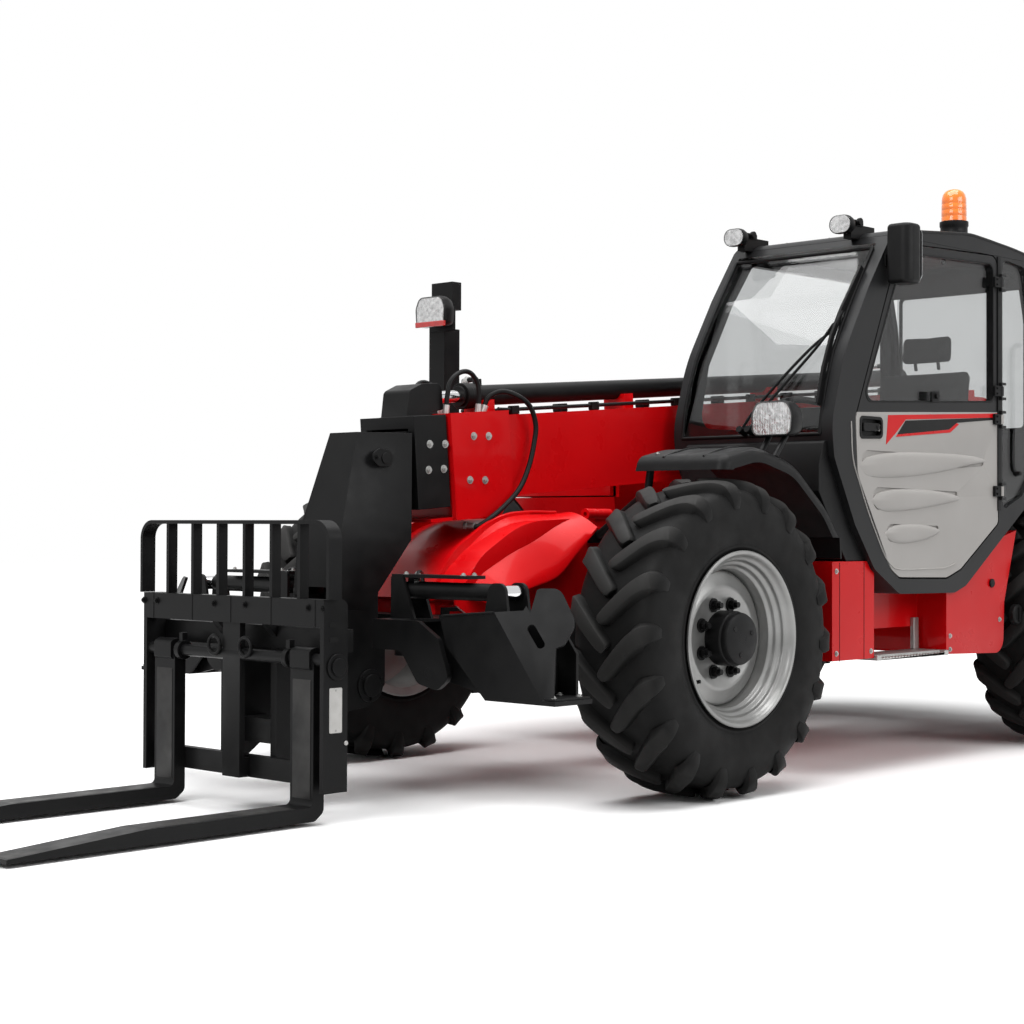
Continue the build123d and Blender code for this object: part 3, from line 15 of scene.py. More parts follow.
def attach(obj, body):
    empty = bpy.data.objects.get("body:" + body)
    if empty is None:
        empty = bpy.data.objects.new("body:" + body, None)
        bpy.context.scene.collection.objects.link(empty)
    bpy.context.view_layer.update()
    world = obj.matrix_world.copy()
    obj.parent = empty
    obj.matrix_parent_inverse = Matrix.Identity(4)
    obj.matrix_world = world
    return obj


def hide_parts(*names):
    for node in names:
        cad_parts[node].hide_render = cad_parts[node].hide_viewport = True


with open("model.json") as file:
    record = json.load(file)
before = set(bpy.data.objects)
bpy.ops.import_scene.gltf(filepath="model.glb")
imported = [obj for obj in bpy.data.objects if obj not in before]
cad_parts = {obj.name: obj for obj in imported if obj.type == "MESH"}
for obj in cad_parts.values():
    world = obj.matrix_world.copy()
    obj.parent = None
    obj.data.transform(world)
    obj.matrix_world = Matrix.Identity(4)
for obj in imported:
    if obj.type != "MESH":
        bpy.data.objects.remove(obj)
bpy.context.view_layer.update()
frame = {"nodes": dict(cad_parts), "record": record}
NODES = frame["nodes"]
RECORD = frame["record"]
SLOT_OF = {part["node"]: part["material_slot"] for part in RECORD["subparts"]}
BODY_OF = {node: body for body, nodes in RECORD["behaviour"]["bodies"].items() for node in nodes}

FRONT_AXLE_X = 435
REAR_AXLE = -2850
AXLES = {"front": 0, "rear": REAR_AXLE}
AXLE_Z = 615
WHEEL_Y = 940
SIDES = (("left", 1), ("right", -1))
LEFT, UP, AHEAD = (0, 1, 0), (0, 0, 1), (1, 0, 0)
SCENE = bpy.context.scene


def at(x, y, z):
    """A point of the machine, in mm, as a vector of the row's frame."""
    return Vector(((x + FRONT_AXLE_X) / 1000, y / 1000, z / 1000))


# ------------------------------------------------------------------ camera, light and floor

# the picture's side, its focal length and its middle, in pixels; the camera's sensor and its place, in mm
PICTURE, FOCAL, MIDDLE = 1024, 1946.767, (504.067, 494.503)
SENSOR = 36
EYE = (5975.467, 5635.323, 1041.889)
# which way the camera looks, in degrees: yaw, pitch, roll
LOOK_ANGLES = (-135.97066, 0.93395, 0.19122)


def set_camera():
    yaw, pitch, roll = (math.radians(a) for a in LOOK_ANGLES)
    ahead = Vector((math.cos(yaw) * math.cos(pitch), math.sin(yaw) * math.cos(pitch), math.sin(pitch)))
    right = ahead.cross(Vector(UP)).normalized()
    up = right.cross(ahead)
    across = right * math.cos(roll) + up * math.sin(roll)
    upright = up * math.cos(roll) - right * math.sin(roll)
    camera = bpy.data.cameras.new("camera")
    camera.sensor_width = SENSOR
    camera.lens = FOCAL / PICTURE * SENSOR
    camera.shift_x = (PICTURE / 2 - MIDDLE[0]) / PICTURE
    camera.shift_y = (MIDDLE[1] - PICTURE / 2) / PICTURE
    camera.clip_end = 200
    holder = link_object("camera", camera)
    place = Matrix((across, upright, -ahead)).transposed().to_4x4()
    place.translation = at(*EYE)
    holder.matrix_world = place
    SCENE.camera = holder


def add_node(tree, kind, sockets=None, **settings):
    """A node with its settings; each socket given is set to a number or linked to an output."""
    made = tree.nodes.new(kind)
    for key, value in settings.items():
        setattr(made, key, value)
    for label, value in (sockets or {}).items():
        if isinstance(value, bpy.types.NodeSocket):
            tree.links.new(value, made.inputs[label])
        else:
            made.inputs[label].default_value = value
    return made


def light_tree(tree, seen, lit):
    """One strength where a ray sees it, straight or in glass and gloss, another where it lights."""
    path = add_node(tree, "ShaderNodeLightPath").outputs
    first = add_node(
        tree, "ShaderNodeMath", {0: path["Is Camera Ray"], 1: path["Is Glossy Ray"]}, operation="MAXIMUM"
    )
    second = add_node(
        tree, "ShaderNodeMath", {0: first.outputs[0], 1: path["Is Transmission Ray"]}, operation="MAXIMUM"
    )
    return add_node(
        tree, "ShaderNodeMapRange", {"Value": second.outputs[0], "To Min": lit, "To Max": seen}
    ).outputs["Result"]


def set_world():
    world = bpy.data.worlds.new("studio")
    world.use_nodes = True
    tree = world.node_tree
    sky = tree.nodes["Background"]
    sky.inputs["Color"].default_value = (1, 1, 1, 1)
    tree.links.new(light_tree(tree, 1.0, 0.32), sky.inputs["Strength"])
    SCENE.world = world


def link_object(name, data):
    made = bpy.data.objects.new(name, data)
    SCENE.collection.objects.link(made)
    return made


def area_light(name, where, target, size, power):
    lamp = bpy.data.lights.new(name, "AREA")
    lamp.shape = "RECTANGLE"
    lamp.size, lamp.size_y = size
    lamp.energy = power
    holder = link_object(name, lamp)
    holder.location = where
    holder.rotation_euler = (Vector(target) - Vector(where)).to_track_quat("-Z", "Y").to_euler()


def set_floor():
    """White floor that keeps the machine's shadow and glows with distance, where it is seen."""
    mesh = bpy.data.meshes.new("floor")
    mesh.from_pydata([(-40, -40, 0), (40, -40, 0), (40, 40, 0), (-40, 40, 0)], [], [(0, 1, 2, 3)])
    floor = link_object("floor", mesh)
    cover = bpy.data.materials.new("studio_floor")
    cover.use_nodes = True
    tree = cover.node_tree
    tree.nodes.clear()
    matte = add_node(tree, "ShaderNodeBsdfDiffuse", {"Color": light_tree(tree, 1.08, 0.36)})
    place = add_node(tree, "ShaderNodeTexCoord").outputs["Object"]
    far = add_node(tree, "ShaderNodeVectorMath", {0: place}, operation="LENGTH").outputs["Value"]
    rise = add_node(
        tree, "ShaderNodeMapRange", {"Value": far, "From Min": 3.2, "From Max": 7.5, "To Max": 0.75},
        interpolation_type="SMOOTHSTEP",
    ).outputs["Result"]
    seen = add_node(tree, "ShaderNodeMath", {0: rise, 1: light_tree(tree, 1.0, 0.0)}, operation="MULTIPLY")
    glow = add_node(tree, "ShaderNodeEmission", {"Strength": seen.outputs[0]})
    both = add_node(tree, "ShaderNodeAddShader", {0: matte.outputs[0], 1: glow.outputs[0]})
    add_node(tree, "ShaderNodeOutputMaterial", {"Surface": both.outputs[0]})
    mesh.materials.append(cover)


SCENE.view_settings.view_transform = "Standard"
set_camera()
set_world()
area_light("overhead_soft", (0.5, 0.5, 7.5), (0.0, 0.0, 0.8), (8, 6), 760)
area_light("front_left_soft", (6.5, 1.5, 5.0), (1.0, 0.2, 0.8), (4, 3), 210)
area_light("left_soft", (-1.5, 7.5, 4.0), (-0.8, 0.5, 1.0), (5, 3), 210)
set_floor()

# ------------------------------------------------------------------ finishes


def plain_look(name, sockets):
    """A material, its tree and its shader, with the shader's own numbers set."""
    look = bpy.data.materials.new(name)
    look.use_nodes = True
    shader = look.node_tree.nodes["Principled BSDF"]
    for label, value in sockets.items():
        shader.inputs[label].default_value = value
    return look, look.node_tree, shader.inputs


def finish(
    name, color, rough, metal=0.0, coat=0.0, specular=0.5, tint=None, grain=None, shine=None, wear=None,
    gleam=None,
):
    """A surface's look.

    tint is (second colour, pattern size, share), grain is (pattern size, strength, depth in mm), shine is
    (pattern size, how much rougher the dull patches are), wear is the colour where the piece's own "wear" is 1
    and gleam the colour of the reflection.
    """
    look, tree, surface = plain_look(name, {
        "Base Color": (*color, 1), "Roughness": rough, "Metallic": metal, "Specular IOR Level": specular,
        "Specular Tint": (*(gleam or (1, 1, 1)), 1), "Coat Weight": coat, "Coat Roughness": 0.05,
    })
    place = add_node(tree, "ShaderNodeTexCoord").outputs["Object"]

    def cloud(size, detail):
        return add_node(
            tree, "ShaderNodeTexNoise", {"Vector": place, "Scale": size, "Detail": detail}
        ).outputs["Fac"]

    paint = None
    if tint:
        second, size, share = tint
        ramp = add_node(tree, "ShaderNodeValToRGB", {"Fac": cloud(size, 6)})
        low, high = ramp.color_ramp.elements
        low.position, high.position = 0.35, 0.75
        low.color = (*color, 1)
        high.color = (*[a + (b - a) * share for a, b in zip(color, second)], 1)
        paint = ramp.outputs["Color"]
    if wear:
        share = add_node(tree, "ShaderNodeAttribute", attribute_name="wear").outputs["Fac"]
        paint = add_node(
            tree, "ShaderNodeMix", {"Factor": share, "A": paint or (*color, 1), "B": (*wear, 1)},
            data_type="RGBA",
        ).outputs["Result"]
    if paint:
        tree.links.new(paint, surface["Base Color"])
    if shine:
        size, dull = shine
        spread = add_node(tree, "ShaderNodeMapRange", {
            "Value": cloud(size, 5), "From Min": 0.3, "From Max": 0.7, "To Min": rough, "To Max": rough + dull,
        })
        tree.links.new(spread.outputs["Result"], surface["Roughness"])
    if grain:
        size, strength, depth = grain
        bump = add_node(tree, "ShaderNodeBump", {
            "Height": cloud(size, 3), "Strength": strength, "Distance": depth / 1000,
        })
        tree.links.new(bump.outputs["Normal"], surface["Normal"])
    return look


def tinted_glass():
    return plain_look("tinted_glass", {
        "Base Color": (0.70, 0.71, 0.71, 1), "Roughness": 0.0, "Transmission Weight": 1.0, "IOR": 1.0,
        "Coat Weight": 0.5, "Coat Roughness": 0.0, "Coat IOR": 1.55,
    })[0]


FINISHES = {
    "red_paint": ((0.60, 0.003, 0.005), 0.26, dict(
        coat=0.10, specular=0.3, gleam=(1, 0.1, 0.1), tint=((0.48, 0.002, 0.004), 3, 0.6),
        grain=(210, 0.05, 0.25), shine=(9, 0.10),
    )),
    "black_paint": ((0.0055, 0.0055, 0.0058), 0.32, dict(
        specular=0.11, tint=((0.009, 0.009, 0.009), 7, 0.8), grain=(380, 0.16, 0.35), shine=(14, 0.14),
    )),
    "cab_grey": ((0.011, 0.0112, 0.0118), 0.33, dict(
        specular=0.16, tint=((0.015, 0.015, 0.0155), 5, 0.7), grain=(300, 0.08, 0.3), shine=(6, 0.1),
    )),
    "door_grey": ((0.385, 0.37, 0.355), 0.36, dict(
        specular=0.3, coat=0.05, tint=((0.35, 0.335, 0.32), 4, 0.8), grain=(260, 0.06, 0.3), shine=(7, 0.1),
    )),
    "rim_silver": ((0.27, 0.27, 0.265), 0.30, dict(
        metal=0.55, specular=0.4, tint=((0.20, 0.20, 0.195), 11, 0.7), grain=(300, 0.07, 0.3), shine=(16, 0.12),
    )),
    "tyre_rubber": ((0.004, 0.004, 0.004), 0.50, dict(
        specular=0.11, tint=((0.0075, 0.0072, 0.007), 9, 0.8), grain=(150, 0.22, 0.8), shine=(12, 0.2),
        wear=(0.022, 0.0215, 0.021),
    )),
    "chrome": ((0.62, 0.62, 0.63), 0.10, dict(metal=1.0, shine=(40, 0.06))),
    "cast_iron": ((0.014, 0.014, 0.0145), 0.5, dict(
        specular=0.25, tint=((0.024, 0.022, 0.02), 12, 0.7), grain=(90, 0.3, 0.8),
    )),
    "black_plastic": ((0.0045, 0.0045, 0.0048), 0.36, dict(
        specular=0.12, tint=((0.007, 0.007, 0.007), 16, 0.8), grain=(650, 0.2, 0.3), shine=(20, 0.15),
    )),
    "beacon_orange": ((0.86, 0.16, 0.006), 0.16, dict(
        coat=0.5, tint=((0.95, 0.26, 0.02), 14, 0.8), grain=(120, 0.05, 0.3),
    )),
    "lamp_glass": ((0.62, 0.62, 0.61), 0.10, dict(
        coat=0.6, tint=((0.42, 0.42, 0.42), 30, 0.9), grain=(130, 0.25, 0.6),
    )),
    "seat_fabric": ((0.012, 0.012, 0.0125), 0.85, dict(
        specular=0.2, tint=((0.02, 0.02, 0.021), 60, 0.8), grain=(900, 0.5, 0.6),
    )),
    "step_metal": ((0.42, 0.42, 0.41), 0.34, dict(
        metal=0.75, tint=((0.30, 0.30, 0.29), 20, 0.8), grain=(200, 0.2, 0.4), shine=(30, 0.15),
    )),
}
LOOKS = {name: finish(name, color, rough, **more) for name, (color, rough, more) in FINISHES.items()}
LOOKS["tinted_glass"] = tinted_glass()

PALE_PLATE = finish(
    "pale_plate", (0.62, 0.61, 0.59), 0.4, specular=0.3, tint=((0.5, 0.49, 0.47), 30, 0.7),
    grain=(300, 0.1, 0.2),
)
# black with pale patches for the forks' tops and heels: real wear, and a painted highlight where the light
# falls on the tops
WORN_AND_HIGHLIGHT_BLACK = finish(
    "worn_and_highlight_black", (0.006, 0.006, 0.006), 0.38, specular=0.25, tint=((0.05, 0.048, 0.046), 5, 0.9),
    grain=(220, 0.25, 0.4), shine=(18, 0.2),
)

# ------------------------------------------------------------------ pieces


def place_piece(made, body, replaced=()):
    """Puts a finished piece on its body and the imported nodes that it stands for."""
    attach(made, body)
    if replaced:
        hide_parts(*replaced)
    return made


def smooth(mesh, angle=32):
    mesh.shade_smooth()
    mesh.set_sharp_from_angle(angle=math.radians(angle))


def soften(made, width, segments=2):
    """Breaks a piece's sharp edges."""
    edge = made.modifiers.new("edges", "BEVEL")
    edge.width = width / 1000
    edge.segments = segments
    edge.limit_method = "ANGLE"
    edge.angle_limit = math.radians(34)
    edge.harden_normals = True
    edge.use_clamp_overlap = True


def dress(node):
    """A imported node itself, welded, with its edges broken and its paint on."""
    mesh = NODES[node].data.copy()
    work = bmesh.new()
    work.from_mesh(mesh)
    bmesh.ops.remove_doubles(work, verts=work.verts, dist=2e-5)
    bmesh.ops.dissolve_limit(work, angle_limit=math.radians(1.5), verts=work.verts, edges=work.edges)
    work.to_mesh(mesh)
    work.free()
    skin = link_object(node + "_skin", mesh)
    mesh.materials.clear()
    mesh.materials.append(LOOKS[SLOT_OF[node]])
    smooth(mesh)
    soften(skin, 3)
    place_piece(skin, BODY_OF[node], [node])


# ------------------------------------------------------------------ building forms


class Form:
    """Points in mm and faces of one piece, gathered before it becomes a mesh."""

    def __init__(self):
        self.points = []
        self.faces = []

    def add(self, points, faces):
        first = len(self.points)
        self.points += [tuple(p) for p in points]
        self.faces += [tuple(i + first for i in face) for face in faces]
        return self

    def rings(self, rings, closed=False):
        """Skin over rings of as many points each, capped at both ends or closed on the first ring."""
        count = len(rings[0])
        points = [p for ring in rings for p in ring]
        faces = []
        spans = len(rings) if closed else len(rings) - 1
        for i in range(spans):
            a, b = i * count, (i + 1) % len(rings) * count
            faces += [(a + j, a + (j + 1) % count, b + (j + 1) % count, b + j) for j in range(count)]
        if not closed:
            faces += [tuple(range(count))[::-1], tuple(range(len(points) - count, len(points)))]
        return self.add(points, faces)

    def prism(self, outline, start, way, u, v):
        """Flat outline of (a, b) set at start along u and v, drawn along way."""
        start, way, u, v = (Vector(p) for p in (start, way, u, v))
        low = [start + u * a + v * b for a, b in outline]
        return self.rings([low, [p + way for p in low]])

    def side(self, outline, y0, y1):
        """(x, z) outline between two Y planes."""
        return self.prism(outline, (0, y0, 0), (0, y1 - y0, 0), (1, 0, 0), (0, 0, 1))

    def front(self, outline, x0, x1):
        """(y, z) outline between two X planes."""
        return self.prism(outline, (x0, 0, 0), (x1 - x0, 0, 0), (0, 1, 0), (0, 0, 1))

    def plan(self, outline, z0, z1):
        """(x, y) outline between two Z planes."""
        return self.prism(outline, (0, 0, z0), (0, 0, z1 - z0), (1, 0, 0), (0, 1, 0))

    def box(self, x0, x1, y0, y1, z0, z1):
        return self.plan([(x0, y0), (x1, y0), (x1, y1), (x0, y1)], z0, z1)

    def bar(self, start, end, radius, sides=24, end_radius=None):
        start, end = Vector(start), Vector(end)
        u, v = square_to(end - start)
        radii = (radius, radius if end_radius is None else end_radius)
        return self.rings(
            [[p + u * (r * c) + v * (r * s) for c, s in circle(sides)] for p, r in zip((start, end), radii)]
        )

    def turned(self, profile, center, axis, steps=48):
        """Closed profile of (radius, distance along the axis) turned round it."""
        center, axis = Vector(center), Vector(axis).normalized()
        u, v = square_to(axis)
        rings = [[center + axis * y + (u * c + v * s) * r for r, y in profile] for c, s in circle(steps)]
        return self.rings(rings, closed=True)

    def pipe(self, path, radius, sides=10, step=12):
        """Hose or bent tube along a smooth path through the points."""
        path = smooth_path([Vector(p) for p in path], step)
        rings = []
        u = square_to(path[1] - path[0])[0]
        for i, p in enumerate(path):
            way = (path[min(i + 1, len(path) - 1)] - path[max(i - 1, 0)]).normalized()
            u = (u - way * u.dot(way)).normalized()
            v = way.cross(u)
            rings.append([p + u * (radius * c) + v * (radius * s) for c, s in circle(sides)])
        return self.rings(rings)

    def mesh(self, name):
        mesh = bpy.data.meshes.new(name)
        mesh.from_pydata([at(*p) for p in self.points], [], self.faces)
        work = bmesh.new()
        work.from_mesh(mesh)
        bmesh.ops.remove_doubles(work, verts=work.verts, dist=2e-6)
        bmesh.ops.recalc_face_normals(work, faces=work.faces)
        work.to_mesh(mesh)
        work.free()
        return mesh


def circle(sides):
    return [(math.cos(2 * math.pi * i / sides), math.sin(2 * math.pi * i / sides)) for i in range(sides)]


def square_to(axis):
    axis = Vector(axis).normalized()
    u = axis.cross(Vector((0, 0, 1)) if abs(axis.z) < 0.9 else Vector((1, 0, 0))).normalized()
    return u, axis.cross(u)


def smooth_path(points, step, each=None):
    """Points about a step apart, or so many in each span, on a smooth curve through the given ones."""
    found = []
    for i in range(len(points) - 1):
        p1, p2 = points[i], points[i + 1]
        p0 = points[i - 1] if i else p1 * 2 - p2
        p3 = points[i + 2] if i + 2 < len(points) else p2 * 2 - p1
        count = each or max(2, round((p2 - p1).length / step))
        for k in range(count):
            t = k / count
            found.append(
                0.5 * (2 * p1 + (p2 - p0) * t + (2 * p0 - 5 * p1 + 4 * p2 - p3) * t * t
                       + (3 * p1 - p0 - 3 * p2 + p3) * t ** 3)
            )
    return found + [points[-1]]


def rounded(outline, segments=5):
    """Closed outline with each (a, b, radius) corner turned into short straight steps."""
    found = []
    for i, point in enumerate(outline):
        here = Vector(point[:2])
        if len(point) < 3 or not point[2]:
            found.append(tuple(here))
            continue
        back = (Vector(outline[i - 1][:2]) - here).normalized()
        ahead = (Vector(outline[(i + 1) % len(outline)][:2]) - here).normalized()
        half = math.acos(max(-1, min(1, back.dot(ahead)))) / 2
        center = here + (back + ahead).normalized() * (point[2] / math.sin(half))
        start = here + back * (point[2] / math.tan(half)) - center
        end = here + ahead * (point[2] / math.tan(half)) - center
        turn = math.atan2(start.x * end.y - start.y * end.x, start.dot(end))
        for k in range(segments + 1):
            c, s = math.cos(turn * k / segments), math.sin(turn * k / segments)
            found.append((center.x + start.x * c - start.y * s, center.y + start.x * s + start.y * c))
    return found


def mesh_piece(name, mesh, body="chassis", slot="black_plastic", look=None, replaced=(), angle=32):
    """A mesh as a finished piece on its body."""
    mesh.materials.clear()
    mesh.materials.append(look or LOOKS[slot])
    smooth(mesh, angle)
    return place_piece(link_object(name, mesh), body, replaced)


def piece(name, form, body="chassis", slot="black_plastic", bevel=0, segments=2, **more):
    """A form as a finished piece on its body."""
    made = mesh_piece(name, form.mesh(name), body, slot, **more)
    if bevel:
        soften(made, bevel, segments)


def frame_form(levels):
    """Closed frame through (outline, y) levels, each outline of (x, z)."""
    return Form().rings([[(x, y, z) for x, z in line] for line, y in levels], closed=True)


def soft_corners(a0, a1, b0, b1, *radii):
    """Rectangle with rounded corners, from its lowest a and b; one radius, or one for each corner."""
    corners = ((a0, b0), (a0, b1), (a1, b1), (a1, b0))
    return rounded([(a, b, radii[i % len(radii)]) for i, (a, b) in enumerate(corners)])


# ------------------------------------------------------------------ repeats


def settled(holder):
    """An object's mesh with its modifiers applied."""
    bpy.context.view_layer.update()
    return bpy.data.meshes.new_from_object(holder.evaluated_get(bpy.context.evaluated_depsgraph_get()))


def copies_tree(name, labels):
    """Geometry group with a mesh in and out and named inputs; gives the tree, its ends and its sockets."""
    tree = bpy.data.node_groups.new(name, "GeometryNodeTree")
    face = tree.interface
    for way in ("INPUT", "OUTPUT"):
        face.new_socket("Geometry", in_out=way, socket_type="NodeSocketGeometry")
    sockets = {
        label: face.new_socket(label, in_out="INPUT", socket_type="NodeSocket" + kind).identifier
        for label, kind in labels
    }
    return tree, add_node(tree, "NodeGroupInput").outputs, sockets


def end_tree(tree, enter, instances):
    """Makes the copies real and gives them their finish."""
    real = add_node(tree, "GeometryNodeRealizeInstances", {"Geometry": instances})
    cover = add_node(
        tree, "GeometryNodeSetMaterial", {"Geometry": real.outputs["Geometry"], "Material": enter["Finish"]}
    )
    add_node(tree, "NodeGroupOutput", {"Geometry": cover.outputs["Geometry"]})


def run_tree(name, mesh, tree, sockets, values):
    """A mesh put through a geometry group."""
    holder = link_object(name, mesh)
    copies = holder.modifiers.new("copies", "NODES")
    copies.node_group = tree
    for label, value in values.items():
        copies[sockets[label]] = value
    made = settled(holder)
    bpy.data.objects.remove(holder)
    made.name = name
    return made


def ring_tree():
    """Copies of the piece turned round an axis through a point."""
    tree, enter, sockets = copies_tree(
        "turned_copies", (("Count", "Int"), ("Turn", "Vector"), ("Center", "Vector"), ("Finish", "Material"))
    )
    line = add_node(tree, "GeometryNodeMeshLine", {"Count": enter["Count"], "Offset": (0, 0, 0)})
    copies = add_node(
        tree, "GeometryNodeInstanceOnPoints", {"Points": line.outputs["Mesh"], "Instance": enter["Geometry"]}
    )
    index = add_node(tree, "GeometryNodeInputIndex").outputs["Index"]
    turn = add_node(tree, "ShaderNodeVectorMath", {0: enter["Turn"], "Scale": index}, operation="SCALE")
    move = add_node(tree, "GeometryNodeRotateInstances", {
        "Instances": copies.outputs["Instances"], "Rotation": turn.outputs["Vector"],
        "Pivot Point": enter["Center"], "Local Space": False,
    })
    end_tree(tree, enter, move.outputs["Instances"])
    return tree, sockets


RING = ring_tree()


def repeated(name, mesh, count, look, turn, center):
    """Mesh of count copies, each turned by turn (radians, XYZ) round center (m) from the last."""
    return run_tree(name, mesh, *RING, {"Count": count, "Turn": turn, "Center": center, "Finish": look})


def worn(mesh, share):
    """Gives each point of a mesh its share of wear, from 0 to 1, by its place (m)."""
    found = mesh.attributes.new("wear", "FLOAT", "POINT")
    found.data.foreach_set("value", [share(point.co) for point in mesh.vertices])


def joined(name, meshes):
    """One mesh of several."""
    work = bmesh.new()
    for mesh in meshes:
        work.from_mesh(mesh)
    made = bpy.data.meshes.new(name)
    work.to_mesh(made)
    work.free()
    return made


# ------------------------------------------------------------------ wheels

LUGS = 18
# how far apart the points along a lug stand, mm
LUG_STEP = 9
# where the first lug's nose stands round the axle, in degrees: outer half, inner half
LUG_START = (-90.95, -80.95)
# tyre's outer skin on one side: radius, distance from the middle plane
CARCASS = [
    (318.3, 168), (330, 171), (338, 175), (346, 180), (350, 184), (356, 184), (360, 182), (372, 188),
    (395, 193), (420, 196), (450, 197), (480, 196), (505, 193), (528, 188), (548, 178), (562, 164),
    (571, 146), (576, 120), (579, 80), (581, 40), (581.5, 0),
]
# one lug: distance from the middle plane, lead in degrees, radius and width of its crown, share of outward tilt
LUG_PATH = [
    (-16, -1.6, 612, 30, 0.0),
    (-8, -0.8, 614.5, 42, 0.0),
    (14, 1.1, 615, 50, 0.0),
    (48, 4.2, 615, 53, 0.0),
    (84, 7.5, 614, 55, 0.0),
    (118, 10.4, 611, 58, 0.05),
    (146, 12.4, 605, 62, 0.16),
    (168, 13.7, 595, 66, 0.36),
    (184, 14.5, 580, 66, 0.62),
    (195, 15.0, 560, 62, 0.85),
    (200, 15.3, 538, 55, 1.0),
    (199.5, 15.5, 514, 46, 1.0),
    (196.5, 15.6, 497, 36, 1.0),
]


def lug_form(wheel_x, wheel_y, side, start):
    """One lug of the tread, from its nose on the middle plane to its foot on the sidewall."""
    tops, outs = [], []
    for y, lead, radius, _, tilt in LUG_PATH:
        a = math.radians(start + lead)
        tops.append(Vector((radius * math.cos(a), y, radius * math.sin(a))))
        outs.append((Vector((math.cos(a), 0, math.sin(a))) * (1 - tilt) + Vector((0, tilt, 0))).normalized())
    fine = smooth_path(tops, LUG_STEP)
    count = len(fine)
    # number of the point where each span of the path starts
    lengths = [0]
    for a, b in zip(tops, tops[1:]):
        lengths.append(lengths[-1] + max(2, round((b - a).length / LUG_STEP)))
    rings = []
    for i, top in enumerate(fine):
        k = max(j for j in range(len(lengths)) if lengths[j] <= i)
        k = min(k, len(tops) - 2)
        t = (i - lengths[k]) / (lengths[k + 1] - lengths[k])
        out = outs[k].lerp(outs[k + 1], t).normalized()
        width = LUG_PATH[k][3] + (LUG_PATH[k + 1][3] - LUG_PATH[k][3]) * t
        way = (fine[min(i + 1, count - 1)] - fine[max(i - 1, 0)]).normalized()
        out = (out - way * out.dot(way)).normalized()
        across = way.cross(out)
        tilt = LUG_PATH[k][4] + (LUG_PATH[k + 1][4] - LUG_PATH[k][4]) * t
        deep = 46 - 30 * tilt
        flare = 13 - 5 * tilt
        half = width / 2
        flank = [(flare, -deep), (flare * 0.45, -deep * 0.55), (1.5, -7), (-1.5, -2), (-6, 0)]
        section = [(-half - a, b) for a, b in flank] + [(half + a, b) for a, b in reversed(flank)]
        rings.append([top + across * a + out * b for a, b in section])
    form = Form().rings(rings)
    form.points = [(wheel_x + x, wheel_y + side * y, AXLE_Z + z) for x, y, z in form.points]
    return form


def tyre(end, side_name):
    x, side = AXLES[end], dict(SIDES)[side_name]
    y = side * WHEEL_Y
    skin = CARCASS + [(r, -w) for r, w in CARCASS[-2::-1]]
    carcass = Form().turned(skin, (x, y, AXLE_Z), (0, 1, 0), 120).mesh("carcass")
    pitch = 2 * math.pi / LUGS
    body = f"wheel_{end}_{side_name}"
    center = at(x, y, AXLE_Z)
    meshes = [carcass]
    for flank in (1, -1):
        mesh = lug_form(x, y, flank, LUG_START[0 if flank == side else 1]).mesh("lug")
        meshes.append(repeated("lugs", mesh, LUGS, LOOKS["tyre_rubber"], (0, pitch, 0), center))
    whole = joined("tyre", meshes)

    def crown(point):
        """Wear: full on the lugs' crowns, fading over the shoulder."""
        reach = math.hypot(point.x - center.x, point.z - center.z) * 1000
        off = abs(point.y - center.y) * 1000
        share = (reach - 600) / 8 if off < 120 else (reach + off * 0.42 - 640) / 26
        return max(0.0, min(1.0, share))

    worn(whole, crown)
    mesh_piece(
        f"tyre_{end}_{side_name}_tread", whole, body, "tyre_rubber", replaced=[f"tyre_{end}_{side_name}"],
        angle=27,
    )


# rim outwards from the disc: radius, distance from the middle plane
RIM_SKIN = [
    (106, 86), (106, 70), (170, 62), (225, 56), (262, 40), (296, 24), (296, -186), (312, -190), (330, -194),
    (336, -190), (335, -183), (322, -176), (318, -168), (318, 168), (322, 176), (333, 181), (337.5, 186),
    (337.5, 192), (333, 196), (327, 195.5), (322, 191), (317, 182), (313, 172), (307, 167), (302, 163),
    (299, 156), (298, 148), (293, 142), (286, 139), (282, 133), (280.5, 124), (275, 117), (269, 114),
    (266, 108), (264, 60), (258, 70), (250, 74), (236, 74), (206, 88), (196, 92), (186, 91), (180, 87),
]


